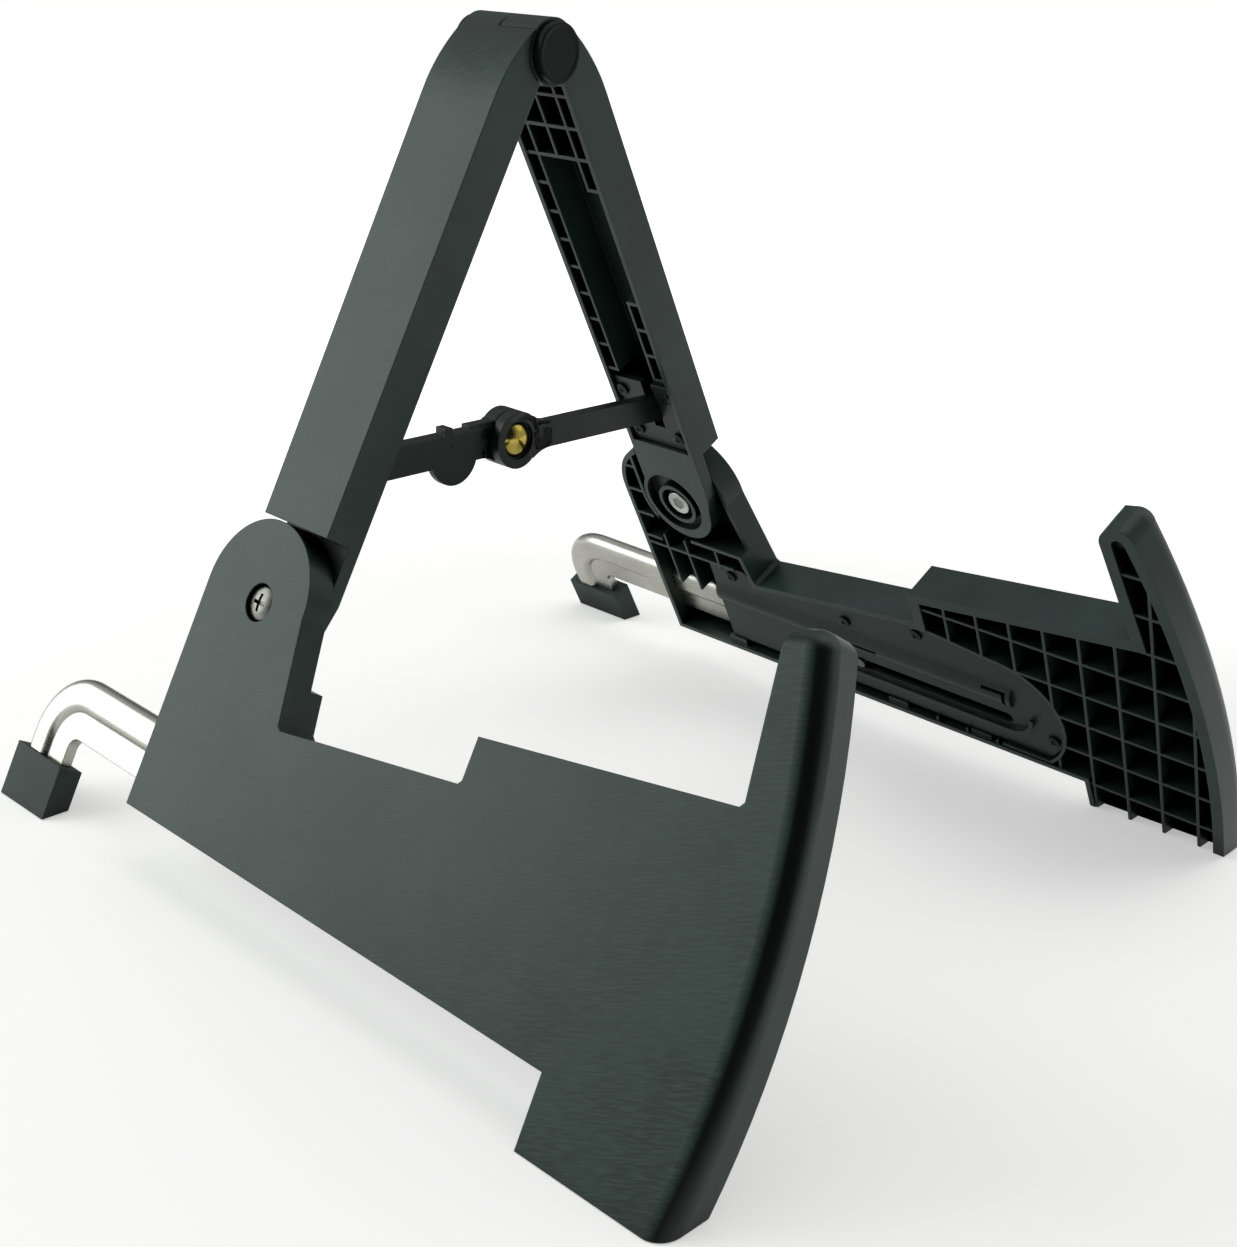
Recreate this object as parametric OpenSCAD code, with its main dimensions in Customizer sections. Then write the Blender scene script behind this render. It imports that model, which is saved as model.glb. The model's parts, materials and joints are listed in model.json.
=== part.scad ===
// Folding guitar stand with two mirrored sides, sizes in millimetres.
// Each side has an upper arm, a ribbed cradle base that pivots at the arm's foot,
// and a bright rear leg that slides out of the base. A two-link brace holds the arms apart.
// A side is drawn flat and then tilted: x runs to the rear, y runs up along the side
// and z runs outward from the middle of the stand, with 0 on the middle plane when it is shut.

/* [Stand] */
// Lean of each side away from the upright, in degrees
splay = 30; // [26:0.5:32]
// Rise of the top hinge towards the rear, in degrees
lean = 1.05; // [0:0.05:1.5]
// Distance from the top hinge to the base pivot
arm_len = 200; // [195:1:215]
// How far the base pivot lies behind the middle of the arm
pivot_x = 2.7; // [1:0.1:4]
// Space between each side's inner face and the middle of the shut stand
mid_gap = 0.4; // [0.3:0.1:1]
// Space between flat faces that move past each other
run_gap = 0.35; // [0.3:0.05:0.5]
// Radial clearance of a shaft in its bore
fit_gap = 0.05; // [0.02:0.01:0.1]

/* [Arm] */
// Width of the arm from front to rear
arm_w = 35.5; // [34:0.5:38]
// Depth of the arm's channel
arm_t = 15.6; // [15:0.1:16]
// Wall thickness of the arm
arm_wall = 2.2; // [1.8:0.1:3]
// Radius of the top hinge knuckles
knuckle_r = 10; // [9:0.1:11]
// Length over which the arm's top curves in to the knuckle
crown_len = 24; // [20:1:30]
// Distance from the pivot to the shoulder where the arm turns full thickness
shoulder = 29; // [28.6:0.1:32]
// Radius of the round boss at the foot of the arm
boss_r = 18.2; // [17.6:0.1:18.4]
// Thickness of the tongue that passes over the base tab
tongue_t = 5.2; // [4.4:0.1:5.6]
// Pitch of the cross ribs in the arm
arm_rib_pitch = 11.6; // [10:0.2:13]
// Drop from the top hinge to the arm's first cross rib
first_rib = 16; // [14:0.5:18]
// Half the width of the trough that the brace folds into
trough_half = 9.4; // [9:0.1:9.8]
// Thickness of the ribs
rib_t = 1.2; // [0.8:0.1:1.6]
// Depth of the ribs' edges below the shell's rim
rib_sink = 0.6; // [0.4:0.1:1]
// Radial space round the arm's boss in the base
boss_gap = 0.6; // [0.4:0.1:0.8]
// Width of the boss's rim inside its tongue
boss_rim = 3.4; // [2.6:0.1:4]
// Radius of the hub round the pivot nut
hub_r = 10; // [9.4:0.1:10.6]
// Radius of the pocket that the nut and washer sit in
nut_pocket_r = 8.2; // [8:0.1:8.6]

/* [Base] */
// Depth of the base shell
base_t = 16.4; // [16:0.1:18]
// Thickness of its outer face
plate_t = 2.4; // [2:0.1:3]
// Thickness of its outline walls
wall_t = 2.2; // [1.8:0.1:2.6]
// Thickness of the walls round the cradle
rim_t = 4.4; // [3.4:0.1:5]
// Radius of the tab's round top
tab_r = 27.4; // [27:0.1:28]
// How far the tab's centre lies behind the pivot
tab_x = 3.2; // [2.6:0.1:3.6]
// How far the tab's centre lies above the pivot
tab_y = 1.2; // [0:0.1:1.2]
// Drop from the pivot to the rear bottom corner
rear_drop = 87; // [84.6:0.1:90]
// Drop from the pivot to the bottom edge at the front pad
heel_drop = 84.4; // [83:0.1:86]
// Length of the front pad, back from the furthest point of the base
pad_len = 58.9; // [56:0.1:61]
// Drop from the pivot to the underside of the front pad at the outer face
pad_drop = 108.6; // [105:0.1:112]
// Distance from the pivot forward to the furthest point of the base
front_reach = 247.9; // [244:0.1:250]
// Radius of the base's front edge
front_r = 368; // [350:1:400]
// Drop from the pivot to the centre of that radius
front_drop = 89; // [84:1:96]
// Drop from the pivot to the full-depth block under the arm's boss
block_drop = 20.8; // [20.6:0.1:24]
// Distance from the pivot forward to the rear end of the seat
seat_rear_x = 32.4; // [31:0.1:34]
// Drop from the pivot to the rear end of the seat
seat_rear_drop = 36; // [34:0.1:38]
// Slope of the seat and the shelf, in degrees
seat_slope = 8.6; // [7.5:0.1:9]
// Distance from the pivot forward to the step between seat and shelf
step_x = 118.8; // [112:0.1:124]
// Height of the step
step_h = 15.6; // [12:0.1:16]
// Distance back from the furthest point of the base to the foot of the hook
hook_w = 32.7; // [30:0.1:33]
// Lean of the hook's inner edge, in degrees
hook_lean = 12.5; // [11:0.1:13.2]
// Radius of the hook's tip, and of the rounded outer corner along the front edge
hook_r = 7; // [6.4:0.1:7.4]
// Length of the small chamfers in the inner corners of the seat and the cradle
corner_fill = 1.4; // [1:0.1:3]
// Pitch of the rib columns
rib_pitch_x = 14.8; // [12:0.1:18]
// Pitch of the rib rows
rib_pitch_y = 17.6; // [14:0.1:20]

/* [Rear leg] */
// Height of the leg bar
bar_h = 24; // [22:0.5:25]
// Thickness of the leg bar
bar_t = 8.4; // [7.6:0.1:8.6]
// Height of the bar's thick upper bead
bead_h = 14; // [11:0.5:16]
// Thickness of the web under the bead
web_t = 4.4; // [3.4:0.1:6]
// Drop from the pivot to the top of the bar
bar_drop = 54.6; // [54:0.1:55.6]
// Distance from the pivot back to the outside of the bent end
leg_reach = 108; // [100:1:116]
// Inner radius of the bend
bend_r = 5; // [4:0.5:8]
// Distance from the pivot forward to the bar's inner end
bar_end = 88; // [86:1:92]
// Width of the rubber foot
foot_w = 32.4; // [30:0.1:36]
// Thickness of the rubber foot
foot_t = 9.8; // [9.2:0.1:10.6]
// Drop from the pivot to the top of the foot
foot_drop = 91; // [90:0.1:94]
// Width of the leg's tang inside the foot
tang_w = 18; // [14:0.5:20]
// Thickness of that tang
tang_t = 3.6; // [3:0.1:4]
// Length of that tang
tang_len = 6; // [4:0.5:8]

/* [Leg cover] */
// Distance from the pivot forward to the cover's rear edge
cover_start = 4; // [2:0.5:6]
// Thickness of the cover plate
cover_t = 1.9; // [1.6:0.1:2]
// Depth of the plate below the base's inner rim
cover_sink = 2.4; // [2.2:0.1:2.6]
// Radius of the half-round ridge
ridge_r = 8; // [7:0.1:10]
// Radius of the rounded front end of the cover
spoon_r = 29; // [26:0.5:30]
// Distance from the pivot forward to the rear end of the slot for the leg's stud
slot_rear = 78; // [75:0.5:80]
// Distance from the front pad back to the front end of that slot
slot_back = 35; // [33:0.5:38]
// Width of that slot
slot_w = 5.6; // [5:0.1:7]
// Space between the stud and the slot's sides
stud_gap = 0.4; // [0.3:0.1:0.6]
// Thickness of the walls that the cover rests on
rail_t = 1.6; // [1.4:0.1:2]

/* [Brace] */
// Distance from the base pivot up the arm to the brace pivot
link_up = 48.4; // [45:0.1:51]
// Depth of the brace pivot from the middle plane
link_w = 8; // [7.4:0.1:8.6]
// Height of the front link
link_h = 9.8; // [8:0.1:11]
// Thickness of the front link
link_t = 4.8; // [4:0.1:5]
// Height of the rear link
link2_h = 11; // [9:0.1:11.6]
// Thickness of the rear link
link2_t = 6.4; // [5:0.1:6.6]
// Radius of the eyes where the links meet
eye_r = 10.4; // [9:0.1:10.6]
// Space between the two links
link_gap = 0.5; // [0.3:0.1:0.8]
// Radius of the finger lobe
lobe_r = 11; // [9:0.1:11.6]
// Distance from the middle to the finger lobe
lobe_x = 27; // [25:0.5:32]
// Radius of the brass rivet's dome
dome_r = 6.4; // [5:0.1:7]
// Radius of the rivet's shank
rivet_r = 2.6; // [2:0.1:3]
// Radius of the pin at each brace bracket
link_pin_r = 1.6; // [1.2:0.1:2]
// Thickness of each bracket's cheeks
cheek_t = 2.4; // [2:0.1:2.6]
// Thickness of each bracket's plate
bracket_t = 2.8; // [2.4:0.1:3]

/* [Fasteners] */
// Radius of the recess for the pivot screw's head
recess_r = 6.8; // [6.4:0.1:7.6]
// Radius of the pivot screw's head
screw_head_r = 5.9; // [5.2:0.1:6.2]
// Depth of the head's seat below the base's outer face
head_depth = 3.2; // [3:0.1:3.6]
// Radius of the pivot screw's shank
shank_r = 3; // [2.4:0.1:3.4]
// Radius of the pivot nut
nut_r = 5.6; // [5:0.1:6]
// Depth of the nut's pocket in the arm
nut_depth = 5; // [4.6:0.1:5.2]
// Thickness of the washer under the nut
washer_t = 1.2; // [0.8:0.1:1.6]
// Radius of the top hinge pin
apex_pin_r = 3; // [2:0.1:4]
// Space between the two knuckles of the top hinge
knuckle_gap = 0.4; // [0.3:0.1:0.8]
// Radius of the caps on the top hinge
cap_r = 8.9; // [8:0.1:9.4]
// Height of those caps
cap_t = 3.2; // [2:0.1:4]
// Space between each cap and its knuckle
cap_gap = 0.3; // [0.3:0.1:0.5]
// Radius of the small screws' heads
small_head_r = 2.8; // [2.4:0.1:3.2]
// Radius of the small screws' shanks
small_shank_r = 1.2; // [0.9:0.1:1.4]
// Height of the small screws' heads
small_head_t = 1.5; // [1.2:0.1:1.6]
// Length of the small screws' shanks
small_screw_len = 7; // [6:0.5:8]

/* [Hidden] */
$fn = 96;
LEFT = -1;
RIGHT = 1;
FRONT = -1;
REAR = 1;
PLASTIC = [0.2, 0.23, 0.22];
METAL = [0.86, 0.86, 0.84];
RUBBER = [0.12, 0.13, 0.13];
BRASS = [0.8, 0.62, 0.25];

link_v = arm_len - link_up;
heel_x = front_reach - pad_len;
hook_x = front_reach - hook_w;
far = 4 * arm_len;
base_out = mid_gap + base_t;
arm_out = mid_gap + arm_t;
crown_r = (pow(crown_len, 2) + pow(arm_out, 2) - pow(knuckle_r, 2)) / (2 * (arm_out - knuckle_r));
crown_c = [-crown_len, arm_out - crown_r];
floor_in = base_out - plate_t;
tab_front_x = tab_x - tab_r;
rear_x = tab_x + tab_r;
hook_y = -seat_rear_drop + step_h + (hook_x - seat_rear_x) * tan(seat_slope);
seat_front_y = -seat_rear_drop + (step_x - seat_rear_x) * tan(seat_slope);
arc_c = [front_r - front_reach, -front_drop];
hook_dir = [sin(hook_lean), cos(hook_lean)];
hook_out = [-cos(hook_lean), sin(hook_lean)];
hook_a = [-hook_x, hook_y] + hook_r * hook_out - arc_c;
hook_s = -(hook_a * hook_dir) + sqrt(pow(hook_a * hook_dir, 2) - hook_a * hook_a + pow(front_r - hook_r, 2));
hook_c = arc_c + hook_a + hook_s * hook_dir;
hook_ray = (hook_c - arc_c) / norm(hook_c - arc_c);
tongue_z = mid_gap + tongue_t + run_gap;
pocket_r = boss_r + boss_gap;
arm_front = arm_w / 2 + pivot_x;
arm_rear = arm_w / 2 - pivot_x;
cover_z = mid_gap + cover_sink;
cover_top = cover_z + cover_t;
bar_z = cover_top + 0.4;
bar_mid = bar_z + bar_t / 2;
bar_low = -bar_drop - bar_h;
bend_c = [leg_reach - bar_h - bend_r, bar_low - bend_r];
foot_x = leg_reach - bar_h / 2;
spoon_c = [-(heel_x - 8 - spoon_r), -seat_rear_drop - 24.6];
cover_low = bar_low - run_gap - rail_t;
cover_edge_y = -seat_rear_drop + 3;
stud_r = slot_w / 2 - stud_gap;
stud_x = -slot_rear - stud_r - 0.6;
stud_y = -bar_drop - bead_h + 3.4;
slot_front = heel_x - slot_back;
ridge_y = -bar_drop + 2.6;
ridge_z = mid_gap + 0.3 + ridge_r;
brace_z = -link_v * cos(splay) + link_w * sin(splay);
brace_half = link_v * sin(splay) + link_w * cos(splay);
cap_y = arm_w / 2 + cap_gap;
nut_seat = mid_gap + nut_depth;
head_z = base_out - head_depth;
pin_in_cap = 1.5;
dome_sink = 1.6;
stud_shank_r = stud_r - 0.65;
washer_z = nut_seat - run_gap - washer_t;
boss_web = nut_seat + 4.2;
boss_inner = recess_r + 2.4;
bracket_z = mid_gap + small_head_t + 0.3;
bracket_top = bracket_z + bracket_t;
bracket_y = [-arm_len + shoulder + 3.4, -link_v + 15];
last_rib = floor((-bracket_y[1] - rib_t - first_rib) / arm_rib_pitch);

function side_up(p) = [-p.y * sin(splay) + p.z * cos(splay), p.x, p.y * cos(splay) + p.z * sin(splay)];
function leaned(q) = [q.x, q.y * cos(lean) - q.z * sin(lean), q.y * sin(lean) + q.z * cos(lean)];
function base_point(p) = leaned(side_up([p.x + pivot_x, p.y - arm_len, p.z]));
apex_h = -base_point([-heel_x - 2, -pad_drop, base_out]).z;
y_shift = -(base_point([-front_reach, -front_drop, mid_gap]).y
    + base_point([foot_x + foot_w / 2, -foot_drop - 22, bar_mid]).y) / 2;

// Corners of an outline moved in by t, where keep is 0 on the edges that stay
function edge_in(a, b, t) = let (d = (b - a) / norm(b - a)) a + t * [-d.y, d.x];
function meet(a, b, c, d) = let (
    r = b - a, s = d - c, k = ((c - a).x * s.y - (c - a).y * s.x) / (r.x * s.y - r.y * s.x)) a + k * r;
function inset(pts, t, keep) = [
    for (i = [0:len(pts) - 1])
        let (n = len(pts), a = pts[(i + n - 1) % n], b = pts[i], c = pts[(i + 1) % n],
             t1 = t * keep[(i + n - 1) % n], t2 = t * keep[i],
             a1 = edge_in(a, b, t1), b1 = a1 + (b - a), b2 = edge_in(b, c, t2), c2 = b2 + (c - b))
        meet(a1, b1, b2, c2)
];

module stand_frame() {
    translate([0, y_shift, apex_h]) rotate([lean, 0, 0]) children();
}

module arm_frame(s) {
    stand_frame() mirror([s < 0 ? 1 : 0, 0, 0]) rotate([0, -splay, 0]) rotate([90, 0, 90]) children();
}

module base_frame(s) {
    arm_frame(s) translate([pivot_x, -arm_len, 0]) children();
}

// Everything below the floor, seen from a base's own frame
module below_floor() {
    translate([-pivot_x, arm_len, 0])
        rotate([-90, 0, 0]) rotate([0, 0, -90]) rotate([0, splay, 0]) rotate([-lean, 0, 0])
            translate([-far / 2, -far / 2, -apex_h - far]) cube(far);
}

// Cylinder along x
module rod_x(r, x0, x1) {
    translate([x0, 0, 0]) rotate([0, 90, 0]) cylinder(r = r, h = x1 - x0);
}

// Cylinder along y
module rod_y(r, y0, y1) {
    translate([0, y1, 0]) rotate([90, 0, 0]) cylinder(r = r, h = y1 - y0);
}

// Section of the arm from the top hinge down, y up and z outward
module arm_section(t) {
    low = mid_gap - (t > 0 ? 2 : 0);
    foot = -arm_len + shoulder + t;
    circle(r = knuckle_r - t);
    translate([foot, low]) square([-crown_len - foot, arm_out - t - low]);
    // curved top, which meets the outer face and the knuckle smoothly
    intersection() {
        translate(crown_c) circle(r = crown_r - t, $fn = 240);
        polygon([
            [-crown_len, low], [0, low], [0, 0], -2 * knuckle_r * crown_c / norm(crown_c),
            [-crown_len, 2 * arm_out]
        ]);
    }
}

module along_x(x0, x1) {
    translate([x0, 0, 0]) rotate([90, 0, 90]) linear_extrude(x1 - x0) children();
}

// Ribs inside the arm: cross ribs on both sides of the trough, and the ribs that run along it
module arm_cells() {
    edge = arm_w / 2 - 1;
    full_rows = 2;
    for (i = [0:last_rib]) {
        y = -first_rib - i * arm_rib_pitch - rib_t / 2;
        x0 = i <= full_rows ? -edge : trough_half;
        arm_rib([x0, y], [edge, y + rib_t]);
        if (i == full_rows + 1 || i > 6 && i <= last_rib)
            arm_rib([-edge, y], [-trough_half, y + rib_t]);
    }
    top = 7 - first_rib;
    full_low = -first_rib - full_rows * arm_rib_pitch;
    arm_rib([trough_half, -first_rib - last_rib * arm_rib_pitch], [trough_half + rib_t, top]);
    arm_rib([-rib_t / 2, full_low], [rib_t / 2, top]);
    arm_rib([-trough_half - rib_t, full_low - arm_rib_pitch], [-trough_half, top]);
    arm_rib([-trough_half - rib_t, -first_rib - last_rib * arm_rib_pitch],
        [-trough_half, -first_rib - 7 * arm_rib_pitch]);
}

module arm_rib(low, high) {
    translate([low.x, low.y, mid_gap + rib_sink])
        cube([high.x - low.x, high.y - low.y, arm_t - rib_sink - arm_wall / 2]);
}

module arm_tongue() {
    translate([pivot_x, -arm_len, mid_gap]) {
        linear_extrude(tongue_t) polygon([
            [-arm_front, 9], (boss_r - 0.3) * [-cos(12), -sin(12)], [0, -1], [arm_rear, 0],
            [arm_rear, shoulder + 3], [-arm_front, shoulder + 3]
        ]);
        cylinder(r = boss_r, h = floor_in - run_gap - mid_gap);
    }
}

// Bore, nut pocket, head recess and the groove round the hub, all in the arm's boss
module arm_boss_cuts() {
    cylinder_at(shank_r + fit_gap, 0, base_out);
    cylinder_at(nut_pocket_r, -1, nut_seat);
    cylinder_at(boss_inner + 0.5, boss_web, base_out);
    difference() {
        translate([1.4, 0.6, 0]) cylinder_at(boss_r - boss_rim, -1, nut_seat - 0.8);
        cylinder_at(hub_r, -2, base_out);
    }
}

module arm_shell(s) {
    half = arm_w / 2;
    split = knuckle_gap / 2;
    own = s < 0 ? [split, half] : [-half, -split];
    other = s < 0 ? [-half - 1, split] : [-split, half + 1];
    color(PLASTIC) arm_frame(s) difference() {
        union() {
            difference() {
                along_x(-half, half) difference() {
                    arm_section(0);
                    translate([-arm_len, -20]) square([arm_len, 20 + mid_gap]);
                }
                along_x(-half + arm_wall, half - arm_wall) difference() {
                    arm_section(arm_wall);
                    translate([-knuckle_r - 2, -20]) square(60);
                }
            }
            intersection() {
                arm_cells();
                along_x(-half, half) arm_section(0.6);
            }
            along_x(own[0], own[1]) circle(r = knuckle_r);
            arm_tongue();
            for (p = bracket_holes())
                translate([p.x, p.y, 0]) cylinder_at(small_head_r + 0.6, bracket_top, arm_out - 1);
        }
        rod_x(knuckle_r + 0.4, other[0], other[1]);
        rod_x(apex_pin_r + fit_gap, -arm_w, arm_w);
        for (p = bracket_holes())
            translate([p.x, p.y, 0]) screw_hole(bracket_top, bracket_z + small_screw_len + 1);
        translate([pivot_x, -arm_len, 0]) arm_boss_cuts();
    }
}

// Bore that a small screw grips, and the looser one in the piece that it holds
module screw_hole(z0, z1) {
    cylinder_at(small_shank_r + fit_gap, z0 - 1, z1, $fn = 32);
}

module screw_pass(z0, z1) {
    cylinder_at(small_shank_r + 0.2, z0 - 1, z1 + 1, $fn = 32);
}

function base_corners() = [
    [rear_x, -rear_drop], [rear_x, tab_y], [tab_front_x, tab_y], [-seat_rear_x, -seat_rear_drop],
    [-step_x, seat_front_y], [-step_x + 0.6, seat_front_y + step_h], [-hook_x, hook_y],
    hook_c - hook_r * hook_out, hook_c, hook_c + 60 * hook_ray, [-front_reach - 40, -pad_drop],
    [-heel_x - 2, -pad_drop], [-heel_x, -heel_drop]
];
base_keep = [1, 0, 1, 1, 1, 1, 1, 0, 0, 0, 1, 1, 1];

module base_outline(t) {
    intersection() {
        polygon(inset(base_corners(), t, base_keep));
        translate(arc_c) circle(r = front_r - t, $fn = 240);
    }
    translate([tab_x, tab_y]) circle(r = tab_r - t);
    translate(hook_c) circle(r = hook_r - t);
}

// Inner outline of the walls, which are thicker round the cradle and along the front, grown by g
module cavity_outline(g) {
    difference() {
        intersection() {
            base_outline(wall_t - g);
            translate(arc_c) circle(r = front_r - rim_t + g, $fn = 240);
        }
        difference() {
            translate([-far, -60]) square([far - step_x + 3, far]);
            base_outline(rim_t - g);
        }
    }
}

// Outline of the leg cover, moved in by t
module cover_outline(t) {
    intersection() {
        base_outline(wall_t + t);
        union() {
            translate([spoon_c.x, cover_low - 0.01 - t]) square([-cover_start - t - spoon_c.x, 60]);
            intersection() {
                translate(spoon_c) circle(r = spoon_r - t);
                translate([spoon_c.x - 60, cover_low + t]) square([61, 80]);
            }
        }
        polygon([
            [-cover_start - t, cover_low + t], [-cover_start - t, cover_edge_y - t],
            [-seat_rear_x + 8.4, cover_edge_y - t], [-seat_rear_x + 2.4, cover_edge_y - 5 - t],
            [-step_x, seat_front_y - 4 - t], [spoon_c.x, spoon_c.y + spoon_r - t],
            [spoon_c.x - 40, spoon_c.y + spoon_r - t], [spoon_c.x - 40, cover_low + t]
        ]);
    }
}

module rib_grid() {
    nx = floor((front_reach - step_x) / rib_pitch_x);
    first_y = seat_rear_drop - 15.4;
    for (i = [0:nx])
        translate([-step_x - i * rib_pitch_x - rib_t / 2, -pad_drop - 40]) square([rib_t, 2 * pad_drop]);
    for (j = [-1:8])
        translate([-front_reach - 14, first_y - j * rib_pitch_y - rib_t / 2])
            square([front_reach + 16 - step_x, rib_t]);
}

// Small ribs between the tab's rear wall and the wall round the boss, and over the leg
module tab_ribs() {
    wall_x = pocket_r + 0.2;
    for (j = [0:3])
        translate([wall_x, 14 - j * 13.8]) square([rear_x - wall_x - 1, rib_t]);
    for (x = [-14, 4, 16])
        translate([x, -bar_drop + 2]) square([rib_t, bar_drop - block_drop - 4]);
    translate([-22, -block_drop - 10.6]) square([rear_x + 21, rib_t]);
}

module boss_wall() {
    wall_r = pocket_r + 1.6;
    difference() {
        union() {
            circle(r = wall_r);
            square([wall_r, tab_r]);
            translate([tab_front_x - 4, -block_drop - 1.6]) square([-tab_front_x + 4, block_drop]);
        }
        circle(r = pocket_r);
        translate([-80, 0]) square([80 + pocket_r, 80]);
        translate([-80, -block_drop]) square([80, 80]);
    }
}

// Section of the leg bar with clearance g, y up and z outward
module bar_section(g) {
    bead_r = bar_t / 2 + g;
    high = -bar_drop - bar_t / 2;
    low = -bar_drop - bead_h + bar_t / 2;
    for (y = [low, high]) translate([y, bar_mid]) circle(r = bead_r);
    translate([low, bar_mid - bead_r]) square([high - low, 2 * bead_r]);
    translate([bar_low - g, bar_mid - web_t / 2 - g]) square([bar_h - bead_h + bar_t / 2, web_t + 2 * g]);
}

module cylinder_at(r, z0, z1) {
    translate([0, 0, z0]) cylinder(r = r, h = z1 - z0);
}

// Extrusion from z0 to z1
module slab(z0, z1) {
    translate([0, 0, z0]) linear_extrude(z1 - z0) children();
}

// Disc inside the front edge's arc, as deep as the base, its outer corner rounded
module front_disc() {
    translate([arc_c.x, arc_c.y, 0]) rotate_extrude() {
        translate([0, mid_gap]) square([front_r, base_t - hook_r]);
        translate([0, mid_gap]) square([front_r - hook_r, base_t]);
        translate([front_r - hook_r, base_out - hook_r]) intersection() {
            circle(r = hook_r);
            square(hook_r + 1);
        }
    }
}

// Tip of the hook: a ball, a hair proud of the front edge's round corner
module hook_tip() {
    ball_r = hook_r + 0.05;
    ball_z = base_out - hook_r;
    translate([hook_c.x, hook_c.y, 0]) {
        cylinder_at(ball_r, mid_gap, ball_z);
        translate([0, 0, ball_z]) sphere(r = ball_r);
    }
}

// Chamfer in the corner at p, whose sides run along d and e
module corner_chamfer(p, d, e) {
    polygon([p - 0.5 * (d + e), p + corner_fill * d - 0.5 * e, p + corner_fill * d,
        p + corner_fill * e, p + corner_fill * e - 0.5 * d]);
}

module base_chamfers() {
    rear = [cos(seat_slope), -sin(seat_slope)];
    tab_wall = [tab_front_x + seat_rear_x, tab_y + seat_rear_drop];
    step = [0.6, step_h];
    corner_chamfer([-hook_x, hook_y], rear, hook_dir);
    corner_chamfer([-step_x, seat_front_y], rear, step / norm(step));
    corner_chamfer([-seat_rear_x, -seat_rear_drop], -rear, tab_wall / norm(tab_wall));
}

module base_body() {
    intersection() {
        slab(mid_gap, base_out) {
            polygon(base_corners());
            base_chamfers();
        }
        front_disc();
    }
    translate([tab_x, tab_y, 0]) cylinder_at(tab_r, mid_gap, base_out);
    hook_tip();
}

// Walls and ribs inside the base
module base_inside() {
    into_plate = floor_in + 1;
    // ribs of the front half
    slab(mid_gap + rib_sink, into_plate) intersection() {
        difference() {
            cavity_outline(0.3);
            cover_outline(-rail_t);
            translate([-step_x + 2, -far / 2]) square(far);
        }
        rib_grid();
    }
    // wall that the cover rests on, and the fence round its front end
    slab(cover_top, into_plate) difference() {
        cover_outline(0);
        cover_outline(rail_t);
    }
    slab(mid_gap + rib_sink, into_plate) difference() {
        cover_outline(-rail_t);
        cover_outline(-0.3);
        translate([-step_x - 2, -far / 2]) square(far);
    }
    // the block under the boss, its ribs and the wall round the boss
    slab(mid_gap, into_plate) intersection() {
        base_outline(0.5);
        union() {
            boss_wall();
            tab_ribs();
        }
    }
    // rail above the leg
    translate([-slot_front, -bar_drop + run_gap, cover_top])
        cube([slot_front - cover_start, rail_t, into_plate - cover_top]);
    for (p = cover_holes())
        translate([p.x, p.y, 0]) cylinder_at(small_head_r, cover_top, into_plate);
    // ledges on the bottom wall
    for (x = [-7, -98, -140])
        translate([x - 5, -rear_drop + 1, mid_gap + 1.4]) cube([10, 5.4, 1.6]);
    cylinder_at(boss_inner, boss_web + run_gap, base_out);
}

module base_shell(s) {
    color(PLASTIC) base_frame(s) difference() {
        union() {
            difference() {
                base_body();
                slab(-1, floor_in) cavity_outline(0);
            }
            base_inside();
        }
        // way for the tongue, in front of the arm and over the tab's front wall
        slab(-1, tongue_z) intersection() {
            circle(r = shoulder + 14);
            translate([-80, -block_drop]) square([80 + arm_rear + 0.6, 120]);
        }
        difference() {
            cylinder_at(pocket_r, -1, floor_in);
            cylinder_at(boss_inner, boss_web + run_gap, base_out);
        }
        cylinder_at(recess_r, head_z, base_out + 1);
        cylinder_at(shank_r + fit_gap, -1, base_out + 1);
        for (p = cover_holes())
            translate([p.x, p.y, 0]) screw_hole(cover_top, cover_z + small_screw_len + 1);
        // seat of the cover, and the way of the leg through the rear wall and behind the cover
        slab(-1, cover_top) cover_outline(0);
        along_x(-slot_front, rear_x + 4) bar_section(run_gap);
        below_floor();
    }
}

// Bar's section with x as the distance from the bend's centre
module bar_radial() {
    outer = bend_r + bar_h;
    for (x = [outer - bar_t / 2, outer - bead_h + bar_t / 2]) translate([x, 0]) circle(r = bar_t / 2);
    translate([outer - bead_h + bar_t / 2, -bar_t / 2]) square([bead_h - bar_t, bar_t]);
    translate([bend_r, -web_t / 2]) square([bar_h - bead_h + bar_t / 2, web_t]);
}

module leg_bar(s) {
    color(METAL) base_frame(s) difference() {
        union() {
            along_x(-bar_end, bend_c.x) bar_section(0);
            translate([bend_c.x, bend_c.y, bar_mid]) {
                rotate_extrude(angle = 90) bar_radial();
                rotate([90, 0, 0]) linear_extrude(foot_drop + bend_c.y + tang_len) bar_radial();
            }
        }
        // leaves a tang on the lower end for the foot
        difference() {
            translate([foot_x - 40, -foot_drop - 20, -20]) cube([80, 20, 60]);
            translate([foot_x - tang_w / 2, -foot_drop - 30, bar_mid - tang_t / 2]) cube([tang_w, 40, tang_t]);
        }
        translate([stud_x, stud_y, 0]) cylinder_at(stud_shank_r + fit_gap, -1, bar_mid, $fn = 32);
    }
}

module leg_foot(s) {
    socket_w = tang_w + 2 * fit_gap;
    socket_t = tang_t + 2 * fit_gap;
    color(RUBBER) base_frame(s) difference() {
        translate([foot_x - foot_w / 2, -foot_drop - 60, bar_mid - foot_t / 2]) cube([foot_w, 60, foot_t]);
        translate([foot_x - socket_w / 2, -foot_drop - tang_len - fit_gap, bar_mid - socket_t / 2])
            cube([socket_w, tang_len + 4, socket_t]);
        below_floor();
    }
}

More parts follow.
